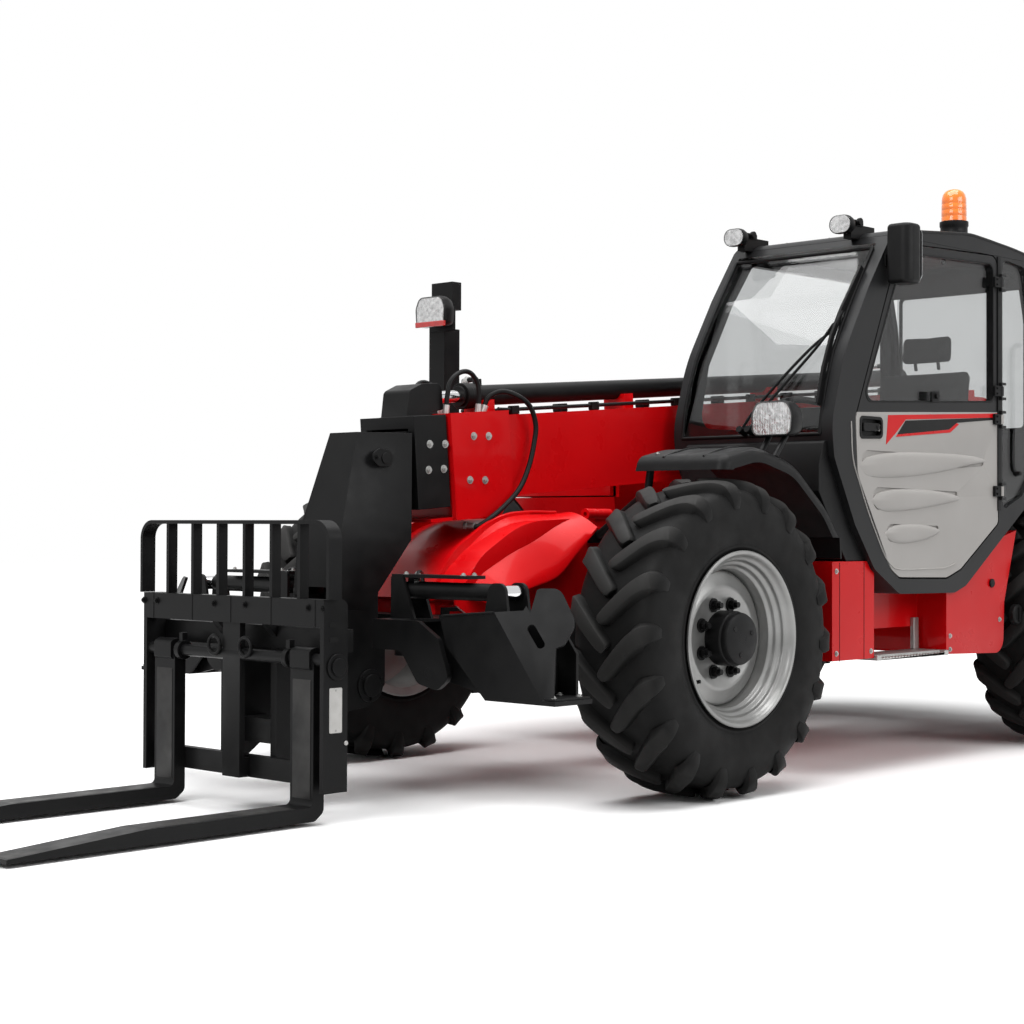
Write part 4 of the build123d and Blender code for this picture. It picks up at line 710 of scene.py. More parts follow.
def wheel_metal(end, side_name):
    x, side = AXLES[end], dict(SIDES)[side_name]
    y = side * WHEEL_Y
    body = f"wheel_{end}_{side_name}"
    out = (0, side, 0)
    name = f"{end}_{side_name}"
    here = (x, y, AXLE_Z)
    piece(
        f"rim_{name}_rings", Form().turned(RIM_SKIN, here, out, 120), body, "rim_silver",
        replaced=[f"rim_{name}"], angle=40,
    )
    hub = Form()
    hub.turned(
        [(20, 40), (106, 40), (106, 150), (103, 156), (100, 158), (100, 176), (96, 183), (88, 187), (20, 188)],
        here, out, 64,
    )
    hub.turned([(0.5, 150), (21, 150), (21, 188), (0.5, 188)], here, out, 32)
    for i in range(3):
        a = math.radians(40 + 120 * i)
        px, pz = x + 62 * math.cos(a), AXLE_Z + 62 * math.sin(a)
        hub.bar((px, y + side * 186, pz), (px, y + side * 190, pz), 11, 6)
    piece(f"hub_{name}_planetary", hub, body, "black_paint", look=LOOKS["black_plastic"], bevel=1.5)
    stud = Form()
    px = x + 137.5
    stud.bar((px, y + side * 84, AXLE_Z), (px, y + side * 92, AXLE_Z), 27, 24)
    stud.bar((px, y + side * 92, AXLE_Z), (px, y + side * 112, AXLE_Z), 19, 6)
    stud.bar((px, y + side * 112, AXLE_Z), (px, y + side * 128, AXLE_Z), 11, 16)
    center = at(*here)
    studs = stud.mesh("stud")
    studs.transform(
        Matrix.Translation(center) @ Matrix.Rotation(math.pi / 8, 4, "Y") @ Matrix.Translation(-center)
    )
    ring = repeated("studs", studs, 8, LOOKS["black_plastic"], (0, math.pi / 4, 0), center)
    mesh_piece(f"studs_{name}", ring, body, "black_paint", look=LOOKS["black_plastic"])
    valve = Form()
    a = math.radians(-38)
    vx, vz = x + 262 * math.cos(a), AXLE_Z + 262 * math.sin(a)
    valve.bar((vx, y + side * 100, vz), (vx - 12 * math.cos(a), y + side * 138, vz - 12 * math.sin(a)), 7, 12)
    valve.bar((vx, y + side * 84, vz), (vx, y + side * 102, vz), 12, 12)
    piece(f"valve_{name}", valve, body, "black_paint", look=LOOKS["black_plastic"])


for end in AXLES:
    for side_name, _ in SIDES:
        tyre(end, side_name)
        wheel_metal(end, side_name)

# ------------------------------------------------------------------ bolts, hoses and plates

CAB_BACK = -2420
# boom's pivot, how far from it the outer section ends, and how much the resting boom slopes down ahead
PIVOT_X = REAR_AXLE - 350
OUTER_END = 625 - PIVOT_X
SLOPE = math.radians(4.6)
PIVOT_Z = 1302.25 + OUTER_END * math.tan(SLOPE)


def on_boom(x, y, z):
    """A point given along, across and above the boom, in the machine's frame."""
    c, s = math.cos(SLOPE), math.sin(SLOPE)
    return (PIVOT_X + x * c + z * s, y, PIVOT_Z - x * s + z * c)


def boom_path(*points):
    return [on_boom(*p) for p in points]


# parts of a bolt: sides, share of the radius, share of the height, how far up in heights
BOLT_PARTS = ((20, 1.45, 0.24, 0.12), (6, 1.0, 1.0, 0.6), (14, 0.52, 0.5, 1.25))


def bolt_tree():
    """A washer, a hexagon head and a stud's end on each point of the mesh, turned to face one way."""
    tree, enter, sockets = copies_tree(
        "bolts_on_points", (("Radius", "Float"), ("Height", "Float"), ("Way", "Vector"), ("Finish", "Material"))
    )
    both = add_node(tree, "GeometryNodeJoinGeometry")
    for sides, wide, tall, lift in BOLT_PARTS:
        radius, height, raised = (
            add_node(tree, "ShaderNodeMath", {0: enter[source], 1: share}, operation="MULTIPLY").outputs[0]
            for source, share in (("Radius", wide), ("Height", tall), ("Height", lift))
        )
        part = add_node(
            tree, "GeometryNodeMeshCylinder", {"Vertices": sides, "Radius": radius, "Depth": height}
        ).outputs["Mesh"]
        up = add_node(tree, "ShaderNodeCombineXYZ", {"Z": raised}).outputs[0]
        move = add_node(tree, "GeometryNodeTransform", {"Geometry": part, "Translation": up})
        tree.links.new(move.outputs["Geometry"], both.inputs["Geometry"])
    turn = add_node(tree, "FunctionNodeAlignRotationToVector", {"Vector": enter["Way"]}, axis="Z")
    copies = add_node(tree, "GeometryNodeInstanceOnPoints", {
        "Points": enter["Geometry"], "Instance": both.outputs["Geometry"], "Rotation": turn.outputs["Rotation"],
    })
    end_tree(tree, enter, copies.outputs["Instances"])
    return tree, sockets


BOLTS = bolt_tree()


def bolts(name, points, way, radius, height, body, slot="black_paint"):
    """Hexagon bolts with washers at points of the machine (mm), heads facing way."""
    mesh = bpy.data.meshes.new(name)
    mesh.from_pydata([at(*p) for p in points], [], [])
    values = {"Radius": radius / 1000, "Height": height / 1000, "Way": way, "Finish": LOOKS[slot]}
    mesh_piece(name, run_tree(name, mesh, *BOLTS, values), body, slot)


def ring_points(center, radius, angles, flat):
    """Points round a center (mm) in the plane square to one axis, given as its number."""
    a, b = [i for i in range(3) if i != flat]
    points = []
    for angle in angles:
        point = list(center)
        point[a] += radius * math.cos(angle)
        point[b] += radius * math.sin(angle)
        points.append(tuple(point))
    return points


def hose(name, path, radius, body, fittings=True):
    """Hose held by the machine at both ends, with a crimped fitting at each."""
    piece(name, Form().pipe(path, radius, 14, 14), body)
    if fittings:
        ends = Form()
        for a, b in ((path[0], path[1]), (path[-1], path[-2])):
            a, b = Vector(a), Vector(b)
            way = (b - a).normalized()
            ends.bar(a - way * 6, a + way * 34, radius * 1.28, 16)
            ends.bar(a - way * 16, a - way * 2, radius * 1.7, 6)
        piece(name + "_ends", ends, body, "chrome", look=LOOKS["step_metal"], bevel=0.8)


# ------------------------------------------------------------------ boom, head and their hoses

COLLAR_BOLTS = (
    ("collar_bolts", "boom", 172, ((499, 1400), (415, 1403), (519, 1225), (434, 1226))),
    ("second_collar_bolts", "middle_section", 156, ((726, 1361), (642, 1364), (731, 1260), (649, 1266))),
)
COUPLER_PIN = (1040, 440)
for side_name, s in SIDES:
    for name, body, y, places in COLLAR_BOLTS:
        bolts(f"{name}_{side_name}", [(x, s * y, z) for x, z in places], (0, s, 0), 11, 9, body, "step_metal")
    keeper = Form().side(rounded([
        (912, 1268, 26), (912, 1330, 30), (985, 1338, 34), (1012, 1316, 16), (1012, 1290, 16), (985, 1268, 30),
    ]), s * 138, s * 148)
    keeper.bar((950, s * 146, 1300), (950, s * 153, 1300), 21, 28)
    piece(f"head_keeper_{side_name}", keeper, "inner_section", "black_paint", bevel=1.5)
    bolts(f"head_keeper_bolt_{side_name}", [(994, s * 148, 1303)], (0, s, 0), 8, 7, "inner_section")
    bosses = Form()
    x, z = COUPLER_PIN
    for r, y0, y1 in ((62, 162, 171), (42, 170, 182)):
        bosses.bar((x, s * y0, z), (x, s * y1, z), r, 36)
    piece(f"coupler_boss_{side_name}", bosses, "carriage", "black_paint", bevel=2)
    bolts(
        f"coupler_pin_bolts_{side_name}", ring_points((x, s * 171, z), 52, (0.6, 2.7, 4.7), 1), (0, s, 0), 7, 6,
        "carriage",
    )
    weld = [on_boom(OUTER_END - 332, s * 152, z) for z in (160, 0, -150)]
    piece(f"collar_weld_{side_name}", Form().pipe(weld, 5, 8, 20), "boom", "red_paint")
# flange on the inner section where the head is welded on
flange = [on_boom(OUTER_END + 210, y, z) for z in (-92, 0, 92) for y in (96, -96)]
bolts("head_flange_bolts", flange, (1, 0, -0.08), 8, 7, "inner_section")
# hoses down the left of the boom's front end and over its top
hose("boom_side_hose", [
    (372, 96, 1500), (356, 110, 1560), (318, 150, 1588), (262, 184, 1572), (196, 193, 1532), (158, 190, 1462),
    (160, 186, 1392), (196, 190, 1290), (262, 200, 1196), (352, 200, 1122), (440, 198, 1068), (478, 172, 1040),
    (486, 130, 1044),
], 10.5, "boom")
hose("boom_top_hose", [
    (575, 92, 1490), (572, 96, 1560), (552, 98, 1622), (500, 100, 1658), (446, 100, 1658), (404, 98, 1618),
    (392, 96, 1560), (396, 94, 1502),
], 10, "boom")
hose("boom_top_hose_right", [
    (575, -104, 1490), (566, -110, 1570), (530, -112, 1622), (470, -112, 1622), (424, -108, 1570),
    (414, -104, 1502),
], 9, "boom")
# steel pipes and their clamps beside the telescope cylinder
for i, y in enumerate((-92, -116, 92)):
    path = [on_boom(x, y, 186) for x in (520, 1300, 2200, 3000, 3420)] + [on_boom(3475, y, 192)]
    piece(f"boom_line_{i}", Form().pipe(path, 8, 12, 60), "boom")
clamps = Form()
for x in (620, 1180, 1740, 2300, 2860, 3360):
    for y0, y1 in ((-130, -78), (78, 106)):
        low = boom_path((x, 0, 165), (x + 44, 0, 165), (x + 44, 0, 201), (x, 0, 201))
        clamps.side([(p[0], p[2]) for p in low], y0, y1)
piece("boom_line_clamps", clamps, "boom", bevel=4)
gland = Form()
for x0, x1, r in (
    (OUTER_END - 262, OUTER_END - 228, 54), (OUTER_END - 229, OUTER_END - 216, 42), (330, 372, 50),
    (2050, 2074, 47),
):
    gland.bar(on_boom(x0, 0, 250), on_boom(x1, 0, 250), r, 40)
piece("telescope_gland", gland, "boom", "black_paint", bevel=2.5)
ports = Form()
for x in (440, OUTER_END - 330):
    ports.bar(on_boom(x, 0, 285), on_boom(x, 0, 318), 19, 20)
    ports.bar(on_boom(x, 0, 316), on_boom(x, -64, 316), 11, 16)
piece("telescope_ports", ports, "boom", "black_paint", bevel=1.5)
hose("telescope_hose_rear", boom_path(
    (440, -60, 316), (470, -96, 312), (540, -110, 280), (600, -112, 205),
), 9, "boom")
hose("telescope_hose_front", boom_path(
    (OUTER_END - 330, -60, 316), (OUTER_END - 350, -100, 310), (OUTER_END - 400, -116, 270),
    (OUTER_END - 430, -116, 196),
), 9, "boom")
pivot = Form()
for side_name, s in SIDES:
    for r, y0, y1 in ((74, 260, 270), (46, 268, 284)):
        pivot.bar((PIVOT_X, s * y0, PIVOT_Z), (PIVOT_X, s * y1, PIVOT_Z), r, 40)
    points = ring_points((PIVOT_X, s * 270, PIVOT_Z), 60, (0.5, 2.6, 4.7), 1)
    bolts(f"boom_pivot_bolts_{side_name}", points, (0, s, 0), 8, 7, "chassis")
piece("boom_pivot_caps", pivot, "chassis", "black_paint", bevel=2)

# ------------------------------------------------------------------ lamps, mirrors and beacon


def clear_lens():
    look, tree, surface = plain_look("clear_lens", {
        "Base Color": (0.93, 0.93, 0.93, 1), "Roughness": 0.02, "Transmission Weight": 0.92, "IOR": 1.12,
        "Coat Weight": 0.6,
    })
    place = add_node(tree, "ShaderNodeTexCoord").outputs["Object"]
    flutes = add_node(tree, "ShaderNodeTexWave", {"Vector": place, "Scale": 26}, bands_direction="Y")
    bump = add_node(tree, "ShaderNodeBump", {
        "Height": flutes.outputs["Fac"], "Strength": 0.35, "Distance": 0.002,
    })
    tree.links.new(bump.outputs["Normal"], surface["Normal"])
    return look


LENS = clear_lens()
REFLECTOR = finish(
    "lamp_reflector", (0.72, 0.72, 0.72), 0.12, metal=0.95, tint=((0.3, 0.3, 0.3), 55, 0.9),
    grain=(60, 0.5, 2.0),
)
RED_LENS = finish(
    "red_lens", (0.55, 0.01, 0.008), 0.14, coat=0.6, tint=((0.35, 0.004, 0.004), 60, 0.8),
    grain=(220, 0.3, 0.4),
)
AMBER_LENS = finish(
    "amber_lens", (0.85, 0.24, 0.01), 0.14, coat=0.6, tint=((0.6, 0.14, 0.01), 60, 0.8), grain=(220, 0.3, 0.4),
)


def lamp_unit(name, outline, center, depth, replaced=()):
    """Lamp with a rounded shell, a bright bowl, a bulb and a crowned lens, depth back from the lens's edge."""
    x, y, z = center
    rim = rounded(outline, 6)

    def ring(share, along):
        return [(x + along, y + a * share, z + b * share) for a, b in rim]

    shell = Form().rings(
        [
            ring(0.985, -6), ring(1.0, -12), ring(0.99, -depth * 0.5), ring(0.86, -depth * 0.85),
            ring(0.6, -depth + 1), ring(0.55, -depth + 6), ring(0.8, -depth * 0.8), ring(0.9, -12),
            ring(0.9, -4), ring(0.95, -2),
        ],
        closed=True,
    )
    piece(name + "_shell", shell, replaced=replaced, angle=40)
    cup = Form().rings([
        ring(0.9, -5), ring(0.84, -depth * 0.35), ring(0.62, -depth * 0.62), ring(0.279, -depth * 0.76),
    ])
    piece(name + "_bowl", cup, "chassis", "chrome", look=REFLECTOR, angle=14)
    bulb = Form().bar((x - depth * 0.74, y, z), (x - depth * 0.3, y, z), 13, 16, 9)
    piece(name + "_bulb", bulb, "chassis", "chrome", bevel=2)
    lens = Form().rings([
        ring(0.955, -7), ring(0.955, -2), ring(0.9, -0.9), ring(0.7, -0.5), ring(0.35, -0.2), ring(0.05, -0.2),
    ])
    piece(name + "_lens", lens, "chassis", "lamp_glass", look=LENS, angle=40)


BIG = [(-98, -66, 30), (-105, 20, 50), (-80, 74, 40), (80, 74, 40), (105, 20, 50), (98, -66, 30)]
OVAL = [(-56, -40, 38), (-56, 40, 38), (56, 40, 38), (56, -40, 38)]
lamp_unit("headlamp_left", BIG, (-345, 1005, 1472), 105, ["lamps"])
lamp_unit("headlamp_right", [(a * 0.95, b, r * 0.9) for a, b, r in BIG], (-210, -826, 2024), 90)
for i, y in enumerate((300, 870)):
    lamp_unit(f"roof_lamp_{i}", OVAL, (-1020, y, 2345), 60)
    knob = Form().bar((-1120, y - 34, 2362), (-1120, y + 34, 2362), 11, 18).bar(
        (-1120, y + 30, 2362), (-1120, y + 46, 2362), 17, 8
    )
    knob.side(rounded([(-1170, 2345, 8), (-1170, 2372, 8), (-1092, 2372, 8), (-1078, 2345, 8)]), y - 24, y + 24)
    piece(f"roof_lamp_clamp_{i}", knob, bevel=2)
edge = Form().front([(-919, 1957), (-733, 1957), (-731, 1982), (-921, 1982)], -224, -208.6)
piece("post_lamp_red_edge", edge, "chassis", "lamp_glass", look=RED_LENS, bevel=3)
# counterweight's rear face
REAR_X = PIVOT_X - 450
for side_name, s in SIDES:
    block = Form().box(REAR_X + 18, REAR_X + 60, s * 482, s * 678, 1090.5, 1169)
    piece(f"rear_lamp_{side_name}_base", block, bevel=4)
    for label, y0, y1, look in (
        ("red", 486, 560, RED_LENS), ("amber", 562, 618, AMBER_LENS), ("white", 620, 674, LOOKS["lamp_glass"]),
    ):
        lens = Form().box(REAR_X + 8.5, REAR_X + 20, s * y0, s * y1, 1096, 1164)
        piece(f"rear_lamp_{side_name}_{label}", lens, "chassis", "lamp_glass", look=look, bevel=4, segments=3)
mirror_face = Form().front(rounded([
    (1078, 2088, 14), (1174, 2088, 30), (1174, 2318, 30), (1078, 2318, 14),
]), -1191.2, -1189.5)
mirror_face.front(rounded([
    (-1012, 2066, 12), (-888, 2066, 12), (-888, 2182, 12), (-1012, 2182, 12),
]), -471, -469)
piece(
    "mirror_glasses", mirror_face, "chassis", "chrome",
    look=finish("mirror_glass", (0.75, 0.76, 0.77), 0.03, metal=1.0, shine=(3, 0.02)),
)
ball = Form()
for r, y0, y1 in ((17, 1060, 1072), (24, 1066, 1076)):
    ball.bar((-1130, y0, 2215), (-1130, y1, 2215), r, 24)
piece("mirror_ball_seat", ball, bevel=3)

BEACON = (-1902, 900, 0)
beacon_base = Form().turned([
    (0.5, 2352), (66, 2352), (66, 2390), (62, 2398), (62, 2424), (65.5, 2430), (65.5, 2450), (58, 2453),
    (0.5, 2453),
], BEACON, UP, 48)
piece("beacon_base", beacon_base, replaced=["beacon"])
dome_profile = [
    (0.5, 2450), (57, 2450), (57.5, 2470), (56, 2474), (57.5, 2478), (57.2, 2500), (55.8, 2503), (57, 2506),
    (56.5, 2528), (55, 2531), (56, 2534), (55.5, 2556), (51, 2575), (42, 2589), (28, 2598), (12, 2601.5),
    (0.5, 2602),
]
piece("beacon_dome", Form().turned(dome_profile, BEACON, UP, 64), "chassis", "beacon_orange", angle=50)

# ------------------------------------------------------------------ cab outside: seals, wiper, door trim

SCREEN_EDGE = [
    (-706, 1428), (-722, 1540), (-752, 1650), (-800, 1775), (-862, 1890), (-934, 2004), (-1012, 2120),
    (-1094, 2238),
]


def strip_along(points, width, thick):
    """Flat rubber strip of a width (across Y) along points."""
    rings = []
    for i, p in enumerate(points):
        p = Vector(p)
        way = (Vector(points[min(i + 1, len(points) - 1)]) - Vector(points[max(i - 1, 0)])).normalized()
        across = Vector(LEFT)
        across = (across - way * across.dot(way)).normalized()
        out = way.cross(across)
        rings.append([
            p + across * a * width / 2 + out * b * thick / 2 for a, b in ((-1, -1), (-1, 1), (1, 1), (1, -1))
        ])
    return Form().rings(rings)


seal = Form()
for y in (262, 988):
    part = strip_along([(x - 3, y, z) for x, z in SCREEN_EDGE], 16, 14)
    seal.add(part.points, part.faces)
for x, z in (SCREEN_EDGE[0], SCREEN_EDGE[-1]):
    seal.bar((x - 4, 258, z), (x - 4, 992, z), 8, 12)
piece("screen_seal", seal, bevel=3)

wiper = Form()
blade_path = [
    (-722, 980, 1545), (-768, 978, 1700), (-826, 976, 1830), (-893, 978, 1945), (-974, 984, 2062),
    (-1030, 988, 2145),
]
wiper_rubber = strip_along([(x + 12, y, z + 4) for x, y, z in blade_path], 7, 22)
wiper.add(wiper_rubber.points, wiper_rubber.faces)
spine = strip_along([(x + 26, y, z + 8) for x, y, z in blade_path], 12, 7)
wiper.add(spine.points, spine.faces)
arm_end = (-850, 976, 1886)
for shift in (0, 42):
    wiper.pipe([
        (-672, 610 + shift, 1452), (-690, 660 + shift, 1530), (-742, 760 + shift, 1660),
        (-806, 880 + shift * 0.6, 1800), (-846, 962, 1872 + shift * 0.6),
    ], 6.5, 10, 30)
wiper.pipe([arm_end, (-842, 980, 1905), (-876, 982, 1950)], 8, 10, 12)
for y in (612, 654):
    wiper.bar((-700, y, 1440), (-652, y, 1458), 15, 20)
piece("screen_wiper", wiper, bevel=1)
spray = Form().side(rounded([
    (-978, 2030, 14), (-1046, 2140, 14), (-1068, 2130, 14), (-1000, 2018, 14),
]), 962, 1020)
piece("wiper_spray_block", spray, bevel=4)

stripe = Form().side([
    (-1120, 1521), (-2030, 1568), (-2030, 1549), (-1257, 1508), (-1179, 1447), (-1104, 1395),
], 1049.5, 1051.6)
stripe.side([
    (-1191, 1441), (-1607, 1477), (-1674, 1509), (-1692, 1504), (-1619, 1465), (-1180, 1430),
], 1049.5, 1051.6)
piece("door_red_stripe", stripe, "door", "red_paint")
flag = Form().side([
    (-1257, 1503), (-2030, 1549.5), (-2030, 1540), (-1674, 1510), (-1607, 1477.5), (-1191, 1441),
], 1049.5, 1051.4)
piece("door_black_flag", flag, "door", "black_paint")
# swellings pressed out of the door's lower part
SWELLINGS = [
    [
        (-924, 1301), (-997, 1338), (-1180, 1361), (-1517, 1368), (-1789, 1363), (-1899, 1344), (-1753, 1321),
        (-1460, 1280), (-1180, 1259), (-997, 1261),
    ],
    [
        (-1008, 1155), (-1072, 1188), (-1213, 1205), (-1517, 1201), (-1687, 1172), (-1517, 1142), (-1290, 1119),
        (-1093, 1115),
    ],
    [
        (-1104, 1019), (-1180, 1049), (-1324, 1055), (-1459, 1046), (-1523, 1025), (-1425, 994), (-1268, 976),
        (-1158, 983),
    ],
]
# share of the outline and y at each level of a swelling
SWELLING_LEVELS = (
    (1.06, 1041), (1.05, 1050.2), (1.0, 1052.5), (0.92, 1056), (0.8, 1058.5), (0.6, 1060), (0.3, 1060.6),
    (0.05, 1060.7),
)
swelling = Form()
for outline in SWELLINGS:
    loop = smooth_path([Vector((x, 0, z)) for x, z in outline + outline[:1]], 18)[:-1]
    middle = sum(loop, Vector()) / len(loop)
    swelling.rings([
        [Vector((middle.x + (p.x - middle.x) * share, y, middle.z + (p.z - middle.z) * share)) for p in loop]
        for share, y in SWELLING_LEVELS
    ])
piece("door_swellings", swelling, "door", "door_grey", angle=60)
PRESSED_LINE = [
    (-843, 1484), (-856, 1330), (-905, 1228), (-965, 1116), (-1029, 1016), (-1100, 917), (-1152, 878),
    (-1213, 862), (-1448, 862), (-1583, 866), (-1660, 884),
]
lip = Form().pipe([(x, 1050.5, z) for x, z in PRESSED_LINE], 3, 8, 30)
piece("door_pressed_line", lip, "door", "door_grey")
DOOR_HINGE_Z = (1210, 1540, 1670, 2170)
covers = Form()
for z in DOOR_HINGE_Z:
    covers.box(-2048, -1983, 1051.4, 1067, z - 24, z + 24)
piece("door_hinge_covers", covers, "door", bevel=3)
recess_hole = rounded([(-917, 1425, 16), (-917, 1498, 16), (-1065, 1498, 16), (-1065, 1431, 16)])
outer_ring = rounded([(-905, 1413, 22), (-905, 1510, 22), (-1077, 1510, 22), (-1077, 1419, 22)])
ring = frame_form(((outer_ring, 1049), (outer_ring, 1054), (recess_hole, 1054), (recess_hole, 1030)))
piece("door_handle_bezel", ring, "door", bevel=1)
piece("door_handle_pocket", Form().side(recess_hole, 1028.5, 1031), "door")
grip = Form().side(rounded([
    (-930, 1446, 12), (-930, 1482, 12), (-1052, 1482, 12), (-1052, 1450, 12),
]), 1038, 1056)
grip.bar((-1036, 1050, 1466), (-1036, 1060, 1466), 11, 24)
piece("door_handle", grip, "door", bevel=4, segments=3)
outer_line = rounded([(-925, 1566, 40), (-2000, 1616, 30), (-2000, 2258, 40), (-1240, 2232, 60)], 6)
middle = Vector([sum(axis) / len(axis) for axis in zip(*outer_line)])
inner_line = [tuple(middle + (Vector(p) - middle) * 0.975) for p in outer_line]
rubber = frame_form(((outer_line, 1026), (outer_line, 1052), (inner_line, 1052), (inner_line, 1026)))
piece("door_window_seal", rubber, "door", bevel=2)
latch = Form().side(
    rounded([(-1445, 1592, 8), (-1445, 1640, 8), (-1508, 1643, 8), (-1508, 1596, 8)]), 1052, 1066,
).bar((-1477, 1062, 1620), (-1477, 1078, 1620), 13, 20)
piece("door_window_latch", latch, "door", bevel=2)
studs = Form()
for x, z in ((-1240, 2204), (-1620, 2226)):
    studs.bar((x, 1012, z), (x, 1020, z), 12, 18)
piece("door_window_studs", studs, "door", bevel=1)
strip = Form().box(-2052, -2026, 1050.4, 1056, 1120, 2290)
piece("hinge_strip", strip, bevel=2)
for i, z in enumerate(DOOR_HINGE_Z):
    bolts(f"hinge_bolts_{i}", [(-2000, 1067, z - 12), (-2000, 1067, z + 12)], LEFT, 5, 4, "door")
piece("side_plug", Form().bar((-2007, 1030, 789), (-2007, 1040, 789), 20, 28), bevel=4, segments=3)
rail = Form().pipe([
    (-2300, 1052, 1300), (-2300, 1092, 1320), (-2300, 1092, 1600), (-2300, 1092, 1880), (-2300, 1052, 1900),
], 12, 14, 20)
piece("cab_grab_rail", rail)

# ------------------------------------------------------------------ cab inside

seat_base = Form().side(rounded([
    (-1650, 802, 20), (-1960, 802, 20), (-1960, 1060, 10), (-1650, 1060, 10),
]), 480, 820)
for k in range(6):
    z, inset = 1062 + k * 11, k % 2 * 12
    seat_base.box(-1954 + inset, -1656 - inset, 486 + inset, 814 - inset, z, z + 10)
piece("seat_base", seat_base, replaced=["seat"], bevel=4)
slides = Form().box(-1980, -1500, 452, 478, 1112, 1128).box(-1980, -1500, 822, 848, 1112, 1128).box(
    -1960, -1640, 440, 860, 1124, 1134
)
for y in (588, 712):
    slides.bar((-2078, y, 1790), (-2068, y, 1840), 8, 12)
piece("seat_slides", slides, "chassis", "cast_iron", bevel=2)
# frames that the cloth is blown up for
CLOTH_FRAMES = 20


def cushion(name, outline, y0, y1, cap):
    """Padded cushion blown up from a plain body between its two sides; cap is the most it swells (mm)."""
    pad = link_object(name, Form().side(rounded(outline), y0, y1).mesh(name))
    remesh = pad.modifiers.new("even", "REMESH")
    remesh.mode = "VOXEL"
    remesh.voxel_size = 0.009
    even = settled(pad)
    pad.modifiers.clear()
    pad.data = even
    start = [v.co.copy() for v in even.vertices]
    cloth = pad.modifiers.new("blown", "CLOTH").settings
    cloth.use_pressure = True
    cloth.uniform_pressure_force = 4
    cloth.effector_weights.gravity = 0
    for number in range(CLOTH_FRAMES):
        SCENE.frame_set(number + 1)
    moved = [v.co.copy() for v in settled(pad).vertices]
    pad.modifiers.clear()
    SCENE.frame_set(1)
    for vertex, a, b in zip(even.vertices, start, moved):
        step = b - a
        vertex.co = a + step * min(1.0, cap / 1000 / max(step.length, 1e-9))
    finer = pad.modifiers.new("finer", "SUBSURF")
    finer.levels = finer.render_levels = 1
    made = settled(pad)
    bpy.data.objects.remove(pad)
    done = mesh_piece(name, made, "chassis", "seat_fabric", angle=60)


cushion("seat_cushion", [
    (-1492, 1150, 40), (-1496, 1224, 40), (-1948, 1204, 30), (-1950, 1142, 30),
], 414, 886, 16)
cushion("seat_back", [
    (-1944, 1216, 30), (-1916, 1262, 30), (-2018, 1786, 40), (-2094, 1786, 40), (-2052, 1206, 30),
], 416, 884, 16)
cushion("seat_head_rest", [
    (-2030, 1826, 24), (-2048, 1946, 30), (-2112, 1946, 30), (-2098, 1824, 24),
], 532, 768, 12)
inside = Form().side(rounded([
    (-1180, 1190, 10), (-1180, 1216, 12), (-1460, 1240, 12), (-1460, 1214, 10),
]), 330, 392)
inside.bar((-1230, 360, 1216), (-1222, 360, 1330), 9, 14).bar(
    (-1222, 360, 1322), (-1216, 360, 1390), 20, 20, 16
)
piece("joystick_console", inside, bevel=5)
screen = Form().side(rounded([(-925, 1440, 8), (-960, 1560, 8), (-976, 1556, 8), (-941, 1434, 8)]), 700, 880)
screen.bar((-930, 790, 1400), (-945, 790, 1440), 12, 14)
piece("dash_display", screen, bevel=4)

# ------------------------------------------------------------------ nose, stabilizers and axles

